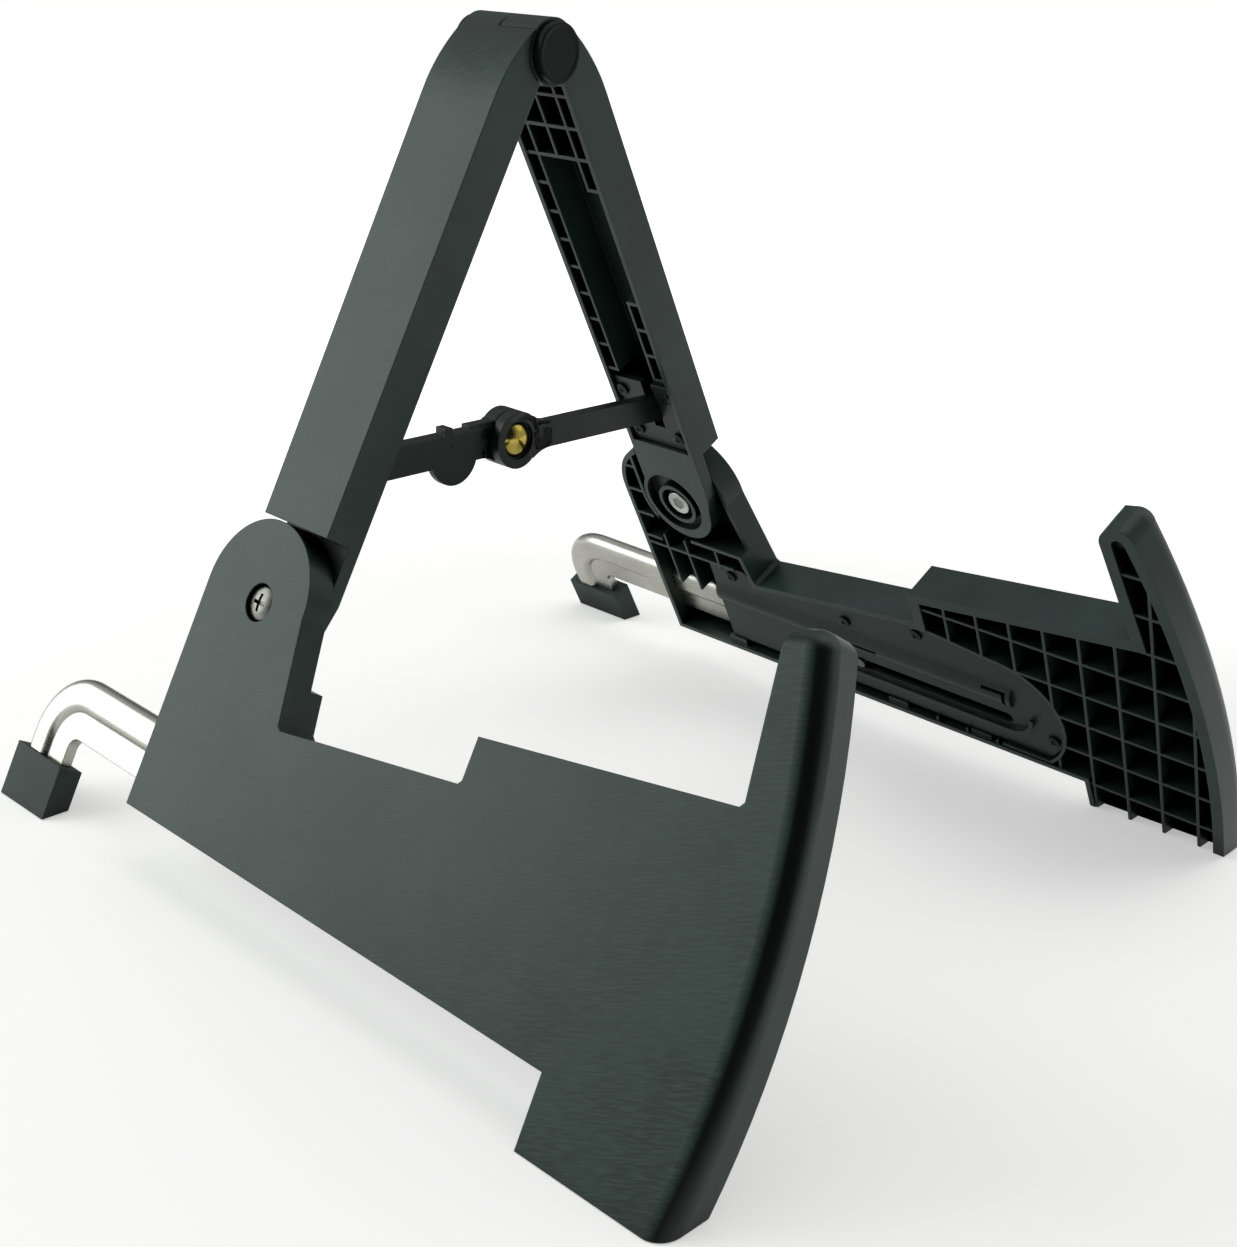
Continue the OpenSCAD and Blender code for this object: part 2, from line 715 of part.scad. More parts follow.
module leg_stud(s) {
    color(METAL) base_frame(s) translate([stud_x, stud_y, 0]) {
        cylinder_at(stud_shank_r, cover_z - 0.4, bar_mid);
        cylinder_at(stud_r, cover_z - 0.8, bar_z);
    }
}

// Places of the cover's screws: under the block, over the leg, under the step and on the spoon
function cover_holes() = [
    [-cover_start - 12, cover_edge_y - 5.6], [-slot_rear, -bar_drop + 13.4],
    [-step_x + 3.2, seat_front_y - 10.5], spoon_c + [5.6 - spoon_r, -8.4]
];

module leg_cover(s) {
    bead_z = mid_gap + rib_sink;
    bead_y = stud_y - slot_w / 2 - 3.4;
    bead_turn = 10;
    color(PLASTIC) base_frame(s) difference() {
        union() {
            slab(cover_z, cover_top) cover_outline(0.3);
            intersection() {
                translate([0, ridge_y, ridge_z]) rod_x(ridge_r, -slot_front - 4, -cover_start - 0.6);
                translate([-heel_x, -rear_drop, 0]) cube([heel_x, rear_drop, cover_top]);
            }
            // bead under the slot, turning up at its front end
            translate([-slot_front - 2, bead_y, bead_z]) cube([slot_front - 56, 1.6, cover_top - bead_z]);
            translate([-slot_front - 2, bead_y + bead_turn + 1.6, bead_z]) rotate([0, 0, 180])
                rotate_extrude(angle = 90) translate([bead_turn, 0]) square([1.6, cover_top - bead_z]);
        }
        translate([-slot_front, stud_y - slot_w / 2, -1]) cube([slot_front - slot_rear, slot_w, 30]);
        translate([-slot_front, stud_y, 0]) cylinder_at(slot_w / 2, -1, 30);
        // short slit over the stud's slot, and the slit round the latch at its front end
        translate([-slot_rear - 15, ridge_y - 1.6, -1]) cube([26, 1.8, 30]);
        translate([-slot_front - 2, ridge_y + 2, -1]) cube([11, 1.6, 30]);
        translate([-slot_front - 2, ridge_y - 5, -1]) cube([1.6, 8, 30]);
        for (p = cover_holes()) translate([p.x, p.y, 0]) screw_pass(cover_z, cover_top);
    }
}

// Cross recess with arms of width w
module cross_slot(reach, w, z0, z1) {
    for (a = [0, 90]) rotate([0, 0, a]) translate([-reach, -w / 2, z0]) cube([2 * reach, w, z1 - z0]);
}

// Small pan-headed screw, its head resting on z = 0
module small_screw() {
    difference() {
        union() {
            cylinder_at(small_head_r, -small_head_t, 0);
            cylinder_at(small_shank_r, -0.1, small_screw_len, $fn = 32);
        }
        cross_slot(small_head_r - 0.8, 0.7, -small_head_t - 1, -small_head_t + 0.8);
    }
}

module cover_screws(s) {
    color(METAL) base_frame(s) for (p = cover_holes()) translate([p.x, p.y, cover_z]) small_screw();
}

module pivot_screw(s) {
    dome_z = head_z + 2;
    dome_high = 1.3;
    dome_curve = (pow(screw_head_r, 2) + pow(dome_high, 2)) / (2 * dome_high);
    color(METAL) base_frame(s) difference() {
        union() {
            cylinder_at(shank_r, mid_gap + 1, head_z + 0.2);
            cylinder_at(screw_head_r, head_z, dome_z);
            intersection() {
                translate([0, 0, dome_z + dome_high - dome_curve]) sphere(r = dome_curve);
                cylinder_at(screw_head_r, dome_z - 0.01, dome_z + 5);
            }
        }
        cross_slot(screw_head_r - 2.7, 1.2, dome_z - 0.6, dome_z + 5);
    }
}

module pivot_washer(s) {
    color(RUBBER) base_frame(s) difference() {
        cylinder_at(nut_pocket_r - 0.6, washer_z, washer_z + washer_t);
        cylinder_at(shank_r + fit_gap, -1, 20);
    }
}

// Round nut, closed at its outer end but for the driver's hole
module pivot_nut(s) {
    color(METAL) base_frame(s) difference() {
        cylinder_at(nut_r, mid_gap + 0.6, washer_z);
        cylinder_at(shank_r + fit_gap, mid_gap + 1, 20);
        cylinder_at(shank_r - 0.6, -1, mid_gap + 2);
    }
}

module apex_pin() {
    color(METAL) stand_frame() rod_y(apex_pin_r, -cap_y - pin_in_cap, cap_y + pin_in_cap);
}

module apex_cap(dir) {
    edge_r = 0.8;
    color(PLASTIC) stand_frame() rotate([0, 0, dir < 0 ? 180 : 0]) difference() {
        union() {
            rod_y(cap_r, cap_y, cap_y + cap_t - edge_r);
            rod_y(cap_r - edge_r, cap_y, cap_y + cap_t);
            translate([0, cap_y + cap_t - edge_r, 0]) rotate([-90, 0, 0])
                rotate_extrude() translate([cap_r - edge_r, 0]) intersection() {
                    circle(r = edge_r, $fn = 32);
                    square(2);
                }
        }
        rod_y(apex_pin_r + fit_gap, 0, cap_y + pin_in_cap);
    }
}

function bracket_holes() = [
    [arm_w / 2 - 5.3, -link_v + 9], [5.3 - arm_w / 2, -link_v + 9],
    [arm_w / 2 - 6.7, -link_v - 10.4], [6.7 - arm_w / 2, -link_v - 10.4]
];

// Band of y that each link fills, the right one in front
function link_band(s) = s > 0
    ? [0.4 - link_gap / 2 - link_t, 0.4 - link_gap / 2]
    : [0.4 + link_gap / 2, 0.4 + link_gap / 2 + link2_t];

module brace_frame(s) {
    stand_frame() translate([0, 0, brace_z]) mirror([s < 0 ? 1 : 0, 0, 0]) children();
}

// Half-round finger lobe under the rear link, its stop tooth and the neck beside the eye
module link_lobe(b) {
    difference() {
        translate([lobe_x, 0, -2]) rod_y(lobe_r, b[0], b[0] + 3);
        translate([lobe_x - 20, b[0] - 1, link2_h / 2]) cube([40, 10, 20]);
    }
    translate([lobe_x + 1, b[0], 0]) cube([3.4, 5.4, link2_h / 2 + 2.6]);
    translate([8, b[0], 0]) cube([12, 4.4, link2_h / 2 + 2]);
}

module brace_link(s) {
    b = link_band(s);
    h = s > 0 ? link_h : link2_h;
    color(PLASTIC) brace_frame(s) difference() {
        union() {
            translate([0, b[0], -h / 2]) cube([brace_half, b[1] - b[0], h]);
            translate([brace_half, 0, 0]) rod_y(h / 2, b[0], b[1]);
            rod_y(eye_r, b[0], b[1]);
            if (s < 0) link_lobe(b);
        }
        rod_y(rivet_r + fit_gap, b[0] - 1, b[1] + 1);
        if (s > 0) rod_y(dome_r + 0.6, b[0] - 1, b[0] + dome_sink);
        translate([brace_half, 0, 0]) rod_y(link_pin_r + fit_gap, b[0] - 1, b[1] + 1);
    }
}

// Domed rivet in the front eye, ending at the gap between the links
module brace_rivet() {
    b = link_band(RIGHT);
    dome_high = 2.85;
    dome_curve = (pow(dome_r, 2) + pow(dome_high, 2)) / (2 * dome_high);
    color(BRASS) brace_frame(RIGHT) {
        rod_y(rivet_r, b[0] + dome_sink - 0.2, b[1]);
        intersection() {
            translate([0, b[0] + dome_sink - dome_high + dome_curve, 0]) sphere(r = dome_curve);
            rod_y(dome_r, b[0] - 6, b[0] + dome_sink);
        }
    }
}

module brace_rivet_tail() {
    b = link_band(LEFT);
    color(BRASS) brace_frame(LEFT) {
        rod_y(rivet_r, b[0], b[1] + 0.1);
        rod_y(rivet_r + 1.6, b[1], b[1] + 0.8);
    }
}

module brace_bracket(s) {
    b = link_band(s);
    y = bracket_y;
    plate_w = arm_w - 2 * arm_wall - 0.2;
    color(PLASTIC) arm_frame(s) difference() {
        union() {
            translate([-plate_w / 2, y[0], bracket_z]) cube([plate_w, y[1] - y[0], bracket_t]);
            for (x = [b[0] - run_gap - cheek_t, b[1] + run_gap])
                translate([x, -link_v - 5.4, bracket_z]) cube([cheek_t, 10.8, link_w + 4.4 - bracket_z]);
        }
        translate([b[0] - run_gap, -link_v - eye_r + 3.8, -1]) cube([b[1] - b[0] + 2 * run_gap, 80, 30]);
        translate([0, -link_v, link_w]) rod_x(link_pin_r + fit_gap, -20, 20);
        for (p = bracket_holes()) translate([p.x, p.y, 0]) screw_pass(bracket_z, bracket_top);
    }
}

module bracket_screws(s) {
    color(METAL) arm_frame(s) for (p = bracket_holes()) translate([p.x, p.y, bracket_z]) small_screw();
}

module link_pin(s) {
    b = link_band(s);
    reach = run_gap + cheek_t + 0.1;
    color(METAL) arm_frame(s) translate([0, -link_v, link_w]) rod_x(link_pin_r, b[0] - reach, b[1] + reach);
}

arm_shell(LEFT);  // left_arm_shell
arm_shell(RIGHT);  // right_arm_shell
base_shell(LEFT);  // left_base_shell
base_shell(RIGHT);  // right_base_shell
leg_bar(LEFT);  // left_leg_bar
leg_bar(RIGHT);  // right_leg_bar
leg_foot(LEFT);  // left_leg_foot
leg_foot(RIGHT);  // right_leg_foot
leg_stud(LEFT);  // left_leg_stud
leg_stud(RIGHT);  // right_leg_stud
leg_cover(LEFT);  // left_leg_cover
leg_cover(RIGHT);  // right_leg_cover
cover_screws(LEFT);  // left_cover_screws
cover_screws(RIGHT);  // right_cover_screws
brace_bracket(LEFT);  // left_brace_bracket
brace_bracket(RIGHT);  // right_brace_bracket
bracket_screws(LEFT);  // left_bracket_screws
bracket_screws(RIGHT);  // right_bracket_screws
brace_link(LEFT);  // left_brace_link
brace_link(RIGHT);  // right_brace_link
link_pin(LEFT);  // left_link_pin
link_pin(RIGHT);  // right_link_pin
pivot_screw(LEFT);  // left_pivot_screw
pivot_screw(RIGHT);  // right_pivot_screw
pivot_washer(LEFT);  // left_pivot_washer
pivot_washer(RIGHT);  // right_pivot_washer
pivot_nut(LEFT);  // left_pivot_nut
pivot_nut(RIGHT);  // right_pivot_nut
apex_pin();
apex_cap(FRONT);  // apex_front_cap
apex_cap(REAR);  // apex_rear_cap
brace_rivet();
brace_rivet_tail();
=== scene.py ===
# %% [markdown]
# A folding guitar stand, dressed for a photograph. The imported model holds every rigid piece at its
# real size: two upper arms, two ribbed cradle bases, two bright rear legs and a jointed brace.
# This lesson loads that frame, sets up the camera and the studio, gives each piece its finish, and
# models again the small pieces whose soft edges catch the light.

# %% Load the frame
import json
import math

import bmesh
import bpy
from mathutils import Matrix, Vector


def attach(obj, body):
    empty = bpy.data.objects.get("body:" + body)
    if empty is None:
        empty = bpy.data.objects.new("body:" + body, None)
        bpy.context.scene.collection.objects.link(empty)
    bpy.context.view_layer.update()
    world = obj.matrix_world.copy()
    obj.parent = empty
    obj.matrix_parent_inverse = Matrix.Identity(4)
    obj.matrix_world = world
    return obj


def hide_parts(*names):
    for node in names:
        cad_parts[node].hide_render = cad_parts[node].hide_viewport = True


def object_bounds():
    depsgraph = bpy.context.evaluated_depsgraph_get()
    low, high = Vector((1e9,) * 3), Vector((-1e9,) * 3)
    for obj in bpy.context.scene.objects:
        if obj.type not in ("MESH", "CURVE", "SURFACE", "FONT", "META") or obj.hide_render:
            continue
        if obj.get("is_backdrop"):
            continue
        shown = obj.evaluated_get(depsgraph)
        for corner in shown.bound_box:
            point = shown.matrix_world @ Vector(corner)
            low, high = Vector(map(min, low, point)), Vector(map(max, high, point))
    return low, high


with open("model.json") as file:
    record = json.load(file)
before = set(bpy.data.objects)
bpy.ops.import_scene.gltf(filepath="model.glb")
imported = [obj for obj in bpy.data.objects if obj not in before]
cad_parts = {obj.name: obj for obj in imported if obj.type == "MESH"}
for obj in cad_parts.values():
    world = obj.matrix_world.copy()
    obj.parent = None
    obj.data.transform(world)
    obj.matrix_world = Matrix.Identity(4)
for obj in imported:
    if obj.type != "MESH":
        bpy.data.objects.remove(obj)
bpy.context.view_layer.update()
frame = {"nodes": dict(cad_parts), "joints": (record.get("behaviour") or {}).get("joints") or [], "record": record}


def as_lists(box):
    return [[float(c) for c in corner] for corner in box]


nodes = frame["nodes"]
joints = {joint["name"]: joint for joint in frame["joints"]}
SIDES = ("left", "right")
MM = 0.001

# %% [markdown]
# Each side of the stand is a flat assembly that leans outward, so work is easier in a side's own axes.
# The first runs to the rear along the leg's slide, the second up the side, and the third outward along
# the base's hinge. They could be written down as angles, but the joints already hold them. The left
# frame is a mirror image of the right one.

# %% Side frames, read from the joints


def side_frame(side):
    """Matrix from a side's own axes, with its origin at the base pivot, to the stand's."""
    fold = joints[f"{side}_base_fold"]
    outward = Vector(fold["axis"]).normalized()
    if outward.z < 0:
        outward = -outward
    rear = -Vector(joints[f"{side}_leg_slide"]["axis"]).normalized()
    up = outward.cross(rear)
    if up.z < 0:
        up = -up
    columns = Matrix((rear, up, outward)).transposed()
    return Matrix.Translation(fold["pos_m"]) @ columns.to_4x4()


side_frames = {side: side_frame(side) for side in SIDES}
for side in SIDES:
    print(side, "pivot at", [round(c, 4) for c in side_frames[side].translation])

# %% [markdown]
# The camera stands in front of the left side, a little above the top hinge, and looks down across the
# stand. It could be aimed by eye, but its place and its turns were fitted to straight edges of the stand,
# so that each piece can be set against the photograph. The picture is a crop from a larger view, so its
# middle isn't the lens's middle: the lens shift gives that crop.

# %% Camera
PHOTO_W, PHOTO_H = 1237, 1247
CAMERA_AT = Vector((-0.404715, -0.378578, 0.290713))
YAW, PITCH, ROLL = 0.7834, 0.5615, 0.0235
FOCAL_PX = 1574.0
LENS_MIDDLE_PX = (564.9, 938.1)
SENSOR_MM = 36


def look_axes(yaw, pitch, roll):
    forward = Vector((math.sin(yaw) * math.cos(pitch), math.cos(yaw) * math.cos(pitch), -math.sin(pitch)))
    level = Vector((math.cos(yaw), -math.sin(yaw), 0))
    over = level.cross(forward)
    right = level * math.cos(roll) + over * math.sin(roll)
    up = over * math.cos(roll) - level * math.sin(roll)
    return right, up, forward


right, up, forward = look_axes(YAW, PITCH, ROLL)
lens = bpy.data.cameras.new("camera")
lens.sensor_fit = "HORIZONTAL"
lens.sensor_width = SENSOR_MM
lens.lens = SENSOR_MM * FOCAL_PX / PHOTO_W
lens.shift_x = (PHOTO_W / 2 - LENS_MIDDLE_PX[0]) / PHOTO_W
lens.shift_y = (LENS_MIDDLE_PX[1] - PHOTO_H / 2) / PHOTO_W
lens.clip_start = 20 * MM
camera = bpy.data.objects.new("camera", lens)
camera.matrix_world = Matrix.Translation(CAMERA_AT) @ Matrix((right, up, -forward)).transposed().to_4x4()
bpy.context.scene.collection.objects.link(camera)
bpy.context.scene.camera = camera
print("lens", round(lens.lens, 1), "mm, shift", round(lens.shift_x, 3), round(lens.shift_y, 3))

# %% [markdown]
# Three soft round lamps light the stand. The widest stands behind the left side, so its faintly green
# reflection lies over the near outer faces. The second lifts the faces that look to the front right, and
# the third, overhead, draws a light line along each upper edge. A sun or a point lamp would be simpler,
# but it gives hard shadows and tiny highlights, which the photograph doesn't have.

# %% Lamps
LAMP_AIM = Vector((0, 0, 0.1))


def soft_lamp(name, direction, distance, radius, brightness, colour=(1, 1, 1)):
    """Round lamp that faces the stand's middle; its power follows from its size and brightness."""
    data = bpy.data.lights.new(name, "AREA")
    data.shape = "DISK"
    data.size = 2 * radius
    data.energy = brightness * math.pi * math.pi * radius ** 2
    data.color = colour
    lamp = bpy.data.objects.new(name, data)
    lamp.location = LAMP_AIM + Vector(direction).normalized() * distance
    lamp.rotation_euler = (LAMP_AIM - lamp.location).to_track_quat("-Z", "Y").to_euler()
    bpy.context.scene.collection.objects.link(lamp)
    print("lamp", name, round(data.energy, 1), "W")


soft_lamp("left_rear", (-0.58, 0.74, 0.36), 1.7, 0.72, 2.35, (0.94, 1.0, 0.98))
soft_lamp("front_right", (0.80, -0.50, 0.75), 1.8, 0.6, 0.5)
soft_lamp("overhead", (0.3, -0.1, 1.0), 1.8, 0.6, 0.85)
bpy.context.scene.view_settings.view_transform = "Standard"

# %% [markdown]
# What a satin plastic mirrors matters as much as its lamps. The surround is an even grey room that is
# nearly black behind the camera, which gives the rounded front edges their dark band, and dimmer behind
# the stand, so that the far faces stay dark. Real panels could stand there, but a brightness that
# depends only on direction is simpler and has no edges. The room is white to the camera alone, so the
# white background adds no light to the stand.

# %% Directions of the surround
BEHIND_CAMERA = Vector((-0.62, -0.66, 0.42)).normalized()
BEHIND_STAND = Vector((0.66, 0.74, 0.05)).normalized()


def vector_calc(tree, operation, first, second=None):
    """Vector or number worked out from one or two vectors; the second may be a fixed one."""
    node = tree.nodes.new("ShaderNodeVectorMath")
    node.operation = operation
    tree.links.new(first, node.inputs[0])
    if isinstance(second, Vector):
        node.inputs[1].default_value = second
    elif second is not None:
        tree.links.new(second, node.inputs[1])
    return node.outputs["Value" if operation in ("DOT_PRODUCT", "LENGTH") else "Vector"]


world = bpy.data.worlds.new("surround")
world.use_nodes = True
bpy.context.scene.world = world
tree = world.node_tree
direction = tree.nodes.new("ShaderNodeTexCoord").outputs["Generated"]
towards_camera = vector_calc(tree, "DOT_PRODUCT", direction, BEHIND_CAMERA)
towards_far = vector_calc(tree, "DOT_PRODUCT", direction, BEHIND_STAND)
print("room is darkest towards", [round(c, 2) for c in BEHIND_CAMERA])

# %% Brightness of the surround
ROOM_GREY, ROOM_DARK, FAR_DIM = 0.5, 0.02, 0.25


def calc(tree, operation, first, second):
    """Number worked out from two others, each a socket or a plain number."""
    node = tree.nodes.new("ShaderNodeMath")
    node.operation = operation
    for socket, value in zip(node.inputs, (first, second)):
        if isinstance(value, (int, float)):
            socket.default_value = value
        else:
            tree.links.new(value, socket)
    return node.outputs[0]


def map_range(tree, value, low, high, to_low, to_high, smooth=False):
    node = tree.nodes.new("ShaderNodeMapRange")
    node.interpolation_type = "SMOOTHSTEP" if smooth else "LINEAR"
    for label, number in (("From Min", low), ("From Max", high), ("To Min", to_low), ("To Max", to_high)):
        node.inputs[label].default_value = number
    tree.links.new(value, node.inputs["Value"])
    return node.outputs["Result"]


def blend_value(tree, factor, low, high):
    """Number that runs from low to high as factor runs from 0 to 1; low and high may be sockets."""
    node = tree.nodes.new("ShaderNodeMix")
    node.data_type = "FLOAT"
    tree.links.new(factor, node.inputs["Factor"])
    for label, value in (("A", low), ("B", high)):
        socket = next(s for s in node.inputs if s.name == label and s.type == "VALUE")
        if isinstance(value, (int, float)):
            socket.default_value = value
        else:
            tree.links.new(value, socket)
    return node.outputs["Result"]


sky = tree.nodes["Background"].inputs
sky["Color"].default_value = (1, 1, 1, 1)
room = map_range(tree, towards_camera, 0.35, 0.85, ROOM_GREY, ROOM_DARK, smooth=True)
far_share = map_range(tree, towards_far, 0.7, 0.95, 1.0, FAR_DIM, smooth=True)
seen = tree.nodes.new("ShaderNodeLightPath").outputs["Is Camera Ray"]
tree.links.new(blend_value(tree, seen, calc(tree, "MULTIPLY", room, far_share), 1.0), sky["Strength"])
print("surround from", ROOM_GREY, "down to", ROOM_DARK)

# %% [markdown]
# The stand is on pale paper that fades into the white background, and its shadow has to stay. So the
# floor is a wide disc of matt paper with a glow that only the camera sees, weaker near the stand, where
# the shadows lie, and full further out. Glossy surfaces see half of that glow, so the polished legs
# mirror a pale floor. A curved backdrop with more lamps would flood the black plastic with light.

# %% Floor
FLOOR_RADIUS = 4
FLOOR_DROP = 0.4 * MM
PAPER = (0.92, 0.915, 0.9, 1)
NEAR_GLOW, NEAR_REACH, FULL_REACH = 0.44, 0.28, 0.7
MIRRORED_SHARE = 0.5


def start_material(name):
    material = bpy.data.materials.new(name)
    material.use_nodes = True
    tree = material.node_tree
    return material, tree, tree.nodes["Principled BSDF"], tree.nodes.new("ShaderNodeTexCoord").outputs


bpy.ops.object.select_all(action="DESELECT")
bpy.ops.mesh.primitive_circle_add(vertices=96, radius=FLOOR_RADIUS, fill_type="NGON",
                                  location=(0, 0, -FLOOR_DROP))
floor = bpy.context.object
floor.name = "floor"
paper, tree, shader, place = start_material("pale_floor")
shader.inputs["Base Color"].default_value = PAPER
shader.inputs["Roughness"].default_value = 0.9
shader.inputs["Emission Color"].default_value = (1, 1, 1, 1)
ray = tree.nodes.new("ShaderNodeLightPath").outputs
mirrored = calc(tree, "MULTIPLY", ray["Is Glossy Ray"], MIRRORED_SHARE)
seen = calc(tree, "MAXIMUM", ray["Is Camera Ray"], mirrored)
reach = vector_calc(tree, "LENGTH", place["Object"])
glow = map_range(tree, reach, NEAR_REACH, FULL_REACH, NEAR_GLOW, 1.0, smooth=True)
tree.links.new(blend_value(tree, seen, 0.0, glow), shader.inputs["Emission Strength"])
floor.data.materials.append(paper)
floor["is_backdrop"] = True
print("floor", 2 * FLOOR_RADIUS, "m across")

# %% [markdown]
# Several effects come back in more than one finish, so each is a shader node group that puts out only
# values, colours and normals. The first turns a point and its normal into a side's own axes, so that a
# pattern can follow the base and the arm. It could be made twice, once for each side, but the sides are
# mirror images, so the sign of x is enough to fold the left one over the right one.

# %% Side space


def new_group(name, inputs, outputs):
    group = bpy.data.node_groups.new(name, "ShaderNodeTree")
    for label, kind, value in inputs:
        socket = group.interface.new_socket(label, in_out="INPUT", socket_type=kind)
        if value is not None:
            socket.default_value = value
    for label, kind in outputs:
        group.interface.new_socket(label, in_out="OUTPUT", socket_type=kind)
    return group, group.nodes.new("NodeGroupInput").outputs, group.nodes.new("NodeGroupOutput").inputs


def build_side_space():
    """Place from the base pivot along a side's axes, and how far the surface faces up and outward."""
    group, given, put = new_group(
        "side_space",
        [("Place", "NodeSocketVector", None), ("Facing", "NodeSocketVector", None)],
        [("Flat", "NodeSocketVector"), ("Faces Up", "NodeSocketFloat"), ("Faces Out", "NodeSocketFloat")])
    split = group.nodes.new("ShaderNodeSeparateXYZ")
    group.links.new(given["Place"], split.inputs[0])
    fold_over = group.nodes.new("ShaderNodeCombineXYZ")
    fold_over.inputs["Y"].default_value = 1
    fold_over.inputs["Z"].default_value = 1
    group.links.new(calc(group, "SIGN", split.outputs["X"], 0), fold_over.inputs["X"])
    place, facing = [vector_calc(group, "MULTIPLY", given[label], fold_over.outputs[0])
                     for label in ("Place", "Facing")]
    rear, up, out = [side_frames["right"].col[index].to_3d() for index in range(3)]
    pivot = side_frames["right"].translation
    flat = group.nodes.new("ShaderNodeCombineXYZ")
    for axis, socket in zip((rear, up, out), flat.inputs):
        along = vector_calc(group, "DOT_PRODUCT", place, axis)
        group.links.new(calc(group, "SUBTRACT", along, pivot.dot(axis)), socket)
    group.links.new(flat.outputs[0], put["Flat"])
    group.links.new(vector_calc(group, "DOT_PRODUCT", facing, up), put["Faces Up"])
    group.links.new(vector_calc(group, "DOT_PRODUCT", facing, out), put["Faces Out"])
    return group


side_space = build_side_space()
print("made", side_space.name)

# %% [markdown]
# The grain on the real mouldings is a satin texture of short, slightly wavy streaks, three or four
# millimetres long and a few tenths wide. A tiled picture would repeat, so a noise that is stretched
# along one direction makes them, and a second, wide noise keeps the tone from being even. A third, very
# fine one is the speckle of the smooth mouldings.

# %% Streaky grain


def build_grain():
    """Streaks along the first axis once it is turned, wide clouds and a fine speck, all from 0 to 1."""
    group, given, put = new_group(
        "streaky_grain",
        [("Place", "NodeSocketVector", None), ("Turn", "NodeSocketFloat", 0.0),
         ("Length", "NodeSocketFloat", 170.0), ("Fineness", "NodeSocketFloat", 1500.0)],
        [("Streak", "NodeSocketFloat"), ("Cloud", "NodeSocketFloat"), ("Speck", "NodeSocketFloat")])
    turned = group.nodes.new("ShaderNodeVectorRotate")
    turned.rotation_type = "Z_AXIS"
    group.links.new(given["Place"], turned.inputs["Vector"])
    group.links.new(given["Turn"], turned.inputs["Angle"])
    stretch = group.nodes.new("ShaderNodeCombineXYZ")
    for axis, label in (("X", "Length"), ("Y", "Fineness"), ("Z", "Fineness")):
        group.links.new(given[label], stretch.inputs[axis])
    stretched = vector_calc(group, "MULTIPLY", turned.outputs[0], stretch.outputs[0])
    for label, source, size, detail in (("Streak", stretched, 1.0, 2.0),
                                        ("Cloud", given["Place"], 38.0, 3.0),
                                        ("Speck", given["Place"], 2600.0, 1.0)):
        noise = group.nodes.new("ShaderNodeTexNoise")
        noise.inputs["Scale"].default_value = size
        noise.inputs["Detail"].default_value = detail
        group.links.new(source, noise.inputs["Vector"])
        group.links.new(noise.outputs["Fac"], put[label])
    return group


streaky_grain = build_grain()
print("made", streaky_grain.name)

# %% [markdown]
# No moulded edge is truly sharp, and no rib cell is lit to its floor. The edges could all be bevelled in
# the mesh, but the frame's nodes must keep their meshes, so a Bevel node rounds the normal instead.
# Where the rounded normal turns away from the real one there is an edge, and where little of the room
# is seen there is a hollow. The finishes use both as masks, and paint shade into the hollows.

# %% Soft edges and painted shade in hollows
PAINTED_SHADE_REACH = 14 * MM


def build_soft_edges():
    """Rounded normal, a mask of the edges, and a mask of painted shade deep between ribs."""
    group, given, put = new_group(
        "soft_edges",
        [("Radius", "NodeSocketFloat", 0.0006)],
        [("Edge", "NodeSocketFloat"), ("Hollow", "NodeSocketFloat"), ("Normal", "NodeSocketVector")])
    rounded = group.nodes.new("ShaderNodeBevel")
    rounded.samples = 6
    group.links.new(given["Radius"], rounded.inputs["Radius"])
    group.links.new(rounded.outputs[0], put["Normal"])
    true_normal = group.nodes.new("ShaderNodeNewGeometry").outputs["Normal"]
    likeness = vector_calc(group, "DOT_PRODUCT", rounded.outputs[0], true_normal)
    group.links.new(map_range(group, likeness, 0.995, 0.86, 0, 1), put["Edge"])
    shade = group.nodes.new("ShaderNodeAmbientOcclusion")
    shade.samples = 6
    shade.inputs["Distance"].default_value = PAINTED_SHADE_REACH
    group.links.new(map_range(group, shade.outputs["AO"], 0.85, 0.35, 0, 1), put["Hollow"])
    return group


soft_edges = build_soft_edges()
print("made", soft_edges.name)

# %% [markdown]
# The shells are moulded from a black plastic that looks grey-green wherever its satin grain catches the
# light. One even colour would look like painted card, so the tone is mixed in steps. The grain covers
# the flat outer skins. The rounded front edge is smoother, and its dark reflection of the room is painted
# in as a near-black band. The edges are rubbed a shade lighter, and the shade between the ribs is painted
# nearly black.

# %% Tools for a finish


def rgb(red, green, blue):
    """A screen colour from 0 to 255 as the linear colour that a shader takes."""
    screen = (red / 255, green / 255, blue / 255)
    return (*[c / 12.92 if c <= 0.04045 else ((c + 0.055) / 1.055) ** 2.4 for c in screen], 1.0)


def use_group(tree, group, links=None, **values):
    node = tree.nodes.new("ShaderNodeGroup")
    node.node_tree = group
    for label, value in values.items():
        node.inputs[label].default_value = value
    for label, socket in (links or {}).items():
        tree.links.new(socket, node.inputs[label])
    return node.outputs


def mix_colour(tree, factor, first, second):
    """Colour that runs from first to second; each is a socket or a fixed colour."""
    node = tree.nodes.new("ShaderNodeMix")
    node.data_type = "RGBA"
    tree.links.new(factor, node.inputs["Factor"])
    sockets = [s for s in node.inputs if s.type == "RGBA"]
    for socket, value in zip(sockets, (first, second)):
        if isinstance(value, tuple):
            socket.default_value = value
        else:
            tree.links.new(value, socket)
    return next(s for s in node.outputs if s.type == "RGBA")


def add_bump(tree, shader, height, distance, strength, normal):
    bump = tree.nodes.new("ShaderNodeBump")
    bump.inputs["Strength"].default_value = strength
    bump.inputs["Distance"].default_value = distance
    tree.links.new(height, bump.inputs["Height"])
    tree.links.new(normal, bump.inputs["Normal"])
    tree.links.new(bump.outputs[0], shader.inputs["Normal"])


print("screen grey 128 is", round(rgb(128, 128, 128)[0], 3), "as light")

